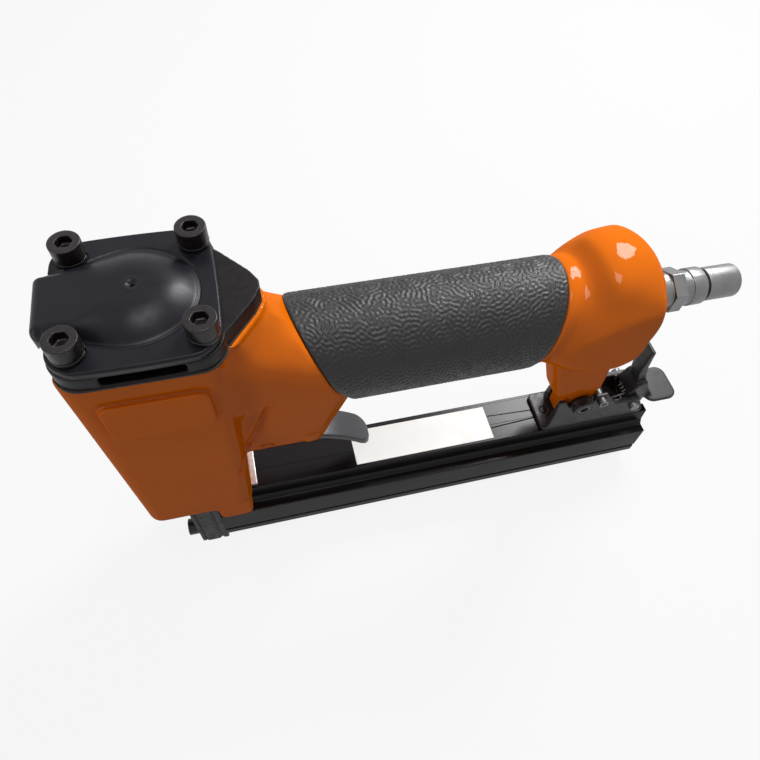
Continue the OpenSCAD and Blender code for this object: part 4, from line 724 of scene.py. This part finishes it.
def build_cap():
    cap_low, cap_high = box_mm("top_cap")
    plate_low, plate_high = box_mm("head_plate")
    flat_z = box_mm("cap_lock_washers")[0][2]
    plate = np.array([[plate_low[0], cap_low[1]], [cap_high[0], cap_high[1]]])
    lip = np.array([[cap_low[0], -LIP_HALF_W_MM], [0, LIP_HALF_W_MM]])
    hood = np.array([[cap_low[0] - PAN_REACH_MM, -PAN_HALF_W_MM], [0, PAN_HALF_W_MM]])

    def outline(x, y):
        return soft_union(bowed_distance(x, y, plate[0], plate[1], CAP_CORNER_MM, CAP_BOW_MM),
                          box_distance(x, y, lip[0], lip[1], LIP_CORNER_MM), LIP_BLEND_MM)

    def rounding(x, y):
        in_front = smooth_step((plate_low[0] - x) / LIP_ROUND_MM + 1)
        on_lip = in_front * smooth_step(LIP_HALF_W_MM - np.abs(y))
        return CAP_ROUND_MM + (LIP_ROUND_MM - CAP_ROUND_MM) * on_lip

    def height(x, y):
        from_axis = np.hypot(x, y)
        pan = soft_union(from_axis - DOME_R_MM, box_distance(x, y, hood[0], hood[1], PAN_CORNER_MM),
                         PAN_BLEND_MM)
        rise = (cap_high[2] - flat_z) * (1 - PAN_FALL * smooth_step(x / cap_low[0]))
        in_hood = smooth_step((x - HOOD_FROM_MM) / (HOOD_TO_MM - HOOD_FROM_MM))
        climb = (PAN_FOOT_MM - pan) / (PAN_SLOPE_MM + (HOOD_SLOPE_MM - PAN_SLOPE_MM) * in_hood)
        climb = np.minimum((climb + np.hypot(climb, FOOT_BLEND)) / 2, 1)
        z = flat_z + rise * (1 - (1 - climb) ** 2)
        z = z - GROOVE_MM * np.exp(-((pan - GROOVE_OUT_MM) / GROOVE_MM) ** 2)
        z = z - DIMPLE_MM * np.exp(-(from_axis / DIMPLE_MM) ** 2)
        return z + DIMPLE_RIM_MM * np.exp(-((from_axis / DIMPLE_MM - DIMPLE_RIM_AT) / DIMPLE_RIM_WIDE) ** 2)

    angle = np.linspace(0, 2 * math.pi, CAP_SPOKES, endpoint=False)
    across, along = np.sin(angle), np.cos(angle)
    near, far = np.zeros(CAP_SPOKES), np.full(CAP_SPOKES, CAP_FARTHEST * cap_high[1])
    for _ in range(CAP_HALVINGS):
        reach = (near + far) / 2
        inside = outline(reach * along, reach * across) < 0
        near, far = np.where(inside, reach, near), np.where(inside, far, reach)
    rows = []
    for place in np.linspace(1 / CAP_RINGS, 1, CAP_RINGS):
        t = 1 - (1 - place) ** CAP_DENSER
        x, y = t * reach * along, t * reach * across
        radius = rounding(x, y)
        edge = np.clip(1 + outline(x, y) / radius, 0, 1)
        rows.append(np.stack([x, y, height(x, y) - radius * (1 - np.sqrt(1 - edge ** 2))], 1))
    x, y = reach * along, reach * across
    foot = plate_high[2] + 0 * x
    in_front = smooth_step(plate_low[0] - x) * smooth_step(LIP_HALF_W_MM - np.abs(y))
    rows.append(np.stack([x, y, foot - LIP_DROP_MM * in_front], 1))
    for inner in (1 - LIP_T_MM / reach, 1 / CAP_SPOKES):
        rows.append(np.stack([inner * x, inner * y, foot], 1))
    mesh = grid_mesh("cap", rows, True, True)
    return shown_object("pressed_cap", mesh, "stapler", "cap_paint", "top_cap")


# The nose: a groove down each side of the block, and room for the blade
NOSE_GROOVE_X_MM = -2.3
NOSE_GROOVE_WIDE_MM = 0.5
NOSE_GROOVE_DEEP_MM = 0.9
NOSE_SIDE_MM = 2
BLADE_ROOM_MM = 0.3
BLADE_NEAR_MM = 0.5


def grooved_nose(points):
    """The grooves, and a little more room for the driver blade in its slot."""
    half_w = box_mm("nose_block")[1][1]
    blade_low, blade_high = box_mm("driver_blade")
    side = smooth_step(np.abs(points[:, 1]) - half_w + NOSE_SIDE_MM)
    groove = NOSE_GROOVE_DEEP_MM * np.exp(-((points[:, 0] - NOSE_GROOVE_X_MM) / NOSE_GROOVE_WIDE_MM) ** 2)
    moved = points.copy()
    moved[:, 1] -= np.sign(points[:, 1]) * side * groove
    behind = points[:, 0] > blade_low[0] - BLADE_NEAR_MM
    wall = behind & (np.abs(np.abs(points[:, 1]) - blade_high[1]) < BLADE_NEAR_MM)
    slot = behind & (points[:, 0] < 0) & (np.abs(points[:, 1]) < blade_high[1] + BLADE_NEAR_MM)
    moved[:, 1] += BLADE_ROOM_MM * wall * np.sign(points[:, 1])
    moved[:, 0] -= BLADE_ROOM_MM * slot
    return moved


# Light, floor and backdrop
AMBIENT = 0.10
FLOOR_GLOW = 0.88
FLOOR_SIDE = 3.0
FLOOR_CELLS = 8
FLOOR_DROP_MM = 0.2
FLOOR_TONE = (0.55, 0.55, 0.55, 1)
FLOOR_ROUGHNESS = 0.9
FLOOR_SPECULAR = 0.1
LAMPS_AIM = (0.09, 0, 0.09)
# Each lamp: its name, place, width, depth and power
LAMPS = [("key", (0.50, 0.42, 0.66), 0.22, 0.34, 7.5),
         ("top", (0.06, -0.05, 0.95), 0.3, 0.3, 2.8),
         ("side", (-0.55, -0.25, 0.25), 0.10, 0.5, 0.7)]


def seen_directly(tree):
    """1 for rays from the camera, a mirror or glass, and 0 for the rest."""
    path = tree.nodes.new("ShaderNodeLightPath")
    value = path.outputs["Is Camera Ray"]
    for kind in ("Is Glossy Ray", "Is Transmission Ray"):
        either = tree.nodes.new("ShaderNodeMath")
        either.operation = "MAXIMUM"
        tree.links.new(value, either.inputs[0])
        tree.links.new(path.outputs[kind], either.inputs[1])
        value = either.outputs[0]
    return value


def add_world():
    world = bpy.data.worlds.new("backdrop")
    bpy.context.scene.world = world
    world.use_nodes = True
    background = world.node_tree.nodes["Background"]
    background.inputs["Color"].default_value = (1, 1, 1, 1)
    strength = world.node_tree.nodes.new("ShaderNodeMapRange")
    strength.inputs["To Min"].default_value = AMBIENT
    strength.inputs["To Max"].default_value = 1
    world.node_tree.links.new(seen_directly(world.node_tree), strength.inputs["Value"])
    world.node_tree.links.new(strength.outputs["Result"], background.inputs["Strength"])


def add_floor():
    mesh = bpy.data.meshes.new("floor")
    shape = bmesh.new()
    bmesh.ops.create_grid(shape, x_segments=FLOOR_CELLS, y_segments=FLOOR_CELLS, size=FLOOR_SIDE)
    bmesh.ops.translate(shape, verts=shape.verts, vec=(0, 0, cad_box[0][2] - FLOOR_DROP_MM * MM))
    shape.to_mesh(mesh)
    floor = bpy.data.objects.new("floor", mesh)
    bpy.context.scene.collection.objects.link(floor)
    material, tree_nodes, links = new_material("floor_pale")
    shader = tree_nodes["Principled BSDF"]
    shader.inputs["Base Color"].default_value = FLOOR_TONE
    shader.inputs["Roughness"].default_value = FLOOR_ROUGHNESS
    shader.inputs["Specular IOR Level"].default_value = FLOOR_SPECULAR
    glow = tree_nodes.new("ShaderNodeEmission")
    share = tree_nodes.new("ShaderNodeMath")
    share.operation = "MULTIPLY"
    share.inputs[1].default_value = FLOOR_GLOW
    mix = tree_nodes.new("ShaderNodeMixShader")
    links.new(seen_directly(material.node_tree), share.inputs[0])
    links.new(share.outputs[0], mix.inputs["Fac"])
    links.new(shader.outputs[0], mix.inputs[1])
    links.new(glow.outputs[0], mix.inputs[2])
    links.new(mix.outputs[0], tree_nodes["Material Output"].inputs["Surface"])
    mesh.materials.append(material)


def add_softbox(name, place, aim, width, depth, watts):
    data = bpy.data.lights.new(name, "AREA")
    data.shape = "RECTANGLE"
    data.size = width
    data.size_y = depth
    data.energy = watts
    lamp = bpy.data.objects.new(name, data)
    bpy.context.scene.collection.objects.link(lamp)
    lamp.location = place
    lamp.rotation_euler = (Vector(aim) - Vector(place)).to_track_quat("-Z", "Y").to_euler()


def add_lights():
    for name, place, width, depth, watts in LAMPS:
        add_softbox(name, place, LAMPS_AIM, width, depth, watts)


# The pieces
# Width of the bevel on the CAD nodes that show as they are, in mm
BEVELS_MM = {"magazine_housing": 0.35, "air_plug": 0.3, "plug_washer": 0.3, "magazine_seat": 0.2,
             "latch_pin": 0.3, "bracket_pin": 0.15, "label_plate": 0.08, "drawer_end": 0.3}
BEVEL_ANGLE_DEG = 25
BEVEL_SEGMENTS = 3
WELD_MM = 0.001
# CAD nodes painted as another node is
PAINTED_OVER = {"trigger_pin": "main_body"}
# Softened CAD nodes: the size of their cells, in mm, and the rounds of relaxing
CASTINGS = {"head_plate": (0.35, 5), "cap_screws": (0.2, 8), "cap_lock_washers": (0.2, 2),
            "trigger": (0.3, 8), "nose_block": (0.25, 4), "front_plate": (0.35, 4),
            "front_plate_screws": (0.2, 3), "rear_bracket": (0.3, 4), "bracket_bolt": (0.25, 3),
            "latch_lever": (0.3, 6)}
# Those that are reshaped before they are relaxed
RESHAPED = {"head_plate": bowed_plate, "nose_block": grooved_nose}


def build_castings():
    build_body()
    for node, (cell_mm, rounds) in CASTINGS.items():
        softened(node, cell_mm, rounds, RESHAPED.get(node))


def build_springs():
    """The springs inside that the record lets scale with their joints, each shown as its own copy of its CAD
    node on its body.
    """
    for joint in frame["record"]["behaviour"]["joints"]:
        for spring in joint.get("deforming_nodes", []):
            letter = spring["mode"][-1]
            if spring["mode"] != "scale_" + letter:
                continue
            node = spring["node"]
            coil = shown_object(node + "_coil", nodes[node].data.copy(), body_of(node), slots[node], node)
            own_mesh(coil)


def paint_cad_nodes():
    """Gives each CAD node that stays the finish of its slot."""
    for name, node in nodes.items():
        for place in node.material_slots:
            place.material = finishes[slots[PAINTED_OVER.get(name, name)]]


def bevel_cad_nodes():
    """Breaks the sharp edges of the CAD nodes that show as they are."""
    for name, width_mm in BEVELS_MM.items():
        weld = nodes[name].modifiers.new("weld", "WELD")
        weld.merge_threshold = WELD_MM * MM
        bevel = nodes[name].modifiers.new("bevel", "BEVEL")
        bevel.limit_method = "ANGLE"
        bevel.angle_limit = math.radians(BEVEL_ANGLE_DEG)
        bevel.width = width_mm * MM
        bevel.segments = BEVEL_SEGMENTS
        bevel.harden_normals = True


bpy.context.scene.view_settings.view_transform = "Standard"
add_camera()
finishes = make_finishes()
paint_cad_nodes()
bevel_cad_nodes()
build_castings()
build_grip()
build_cap()
build_springs()
add_world()
add_floor()
add_lights()
bpy.context.view_layer.update()
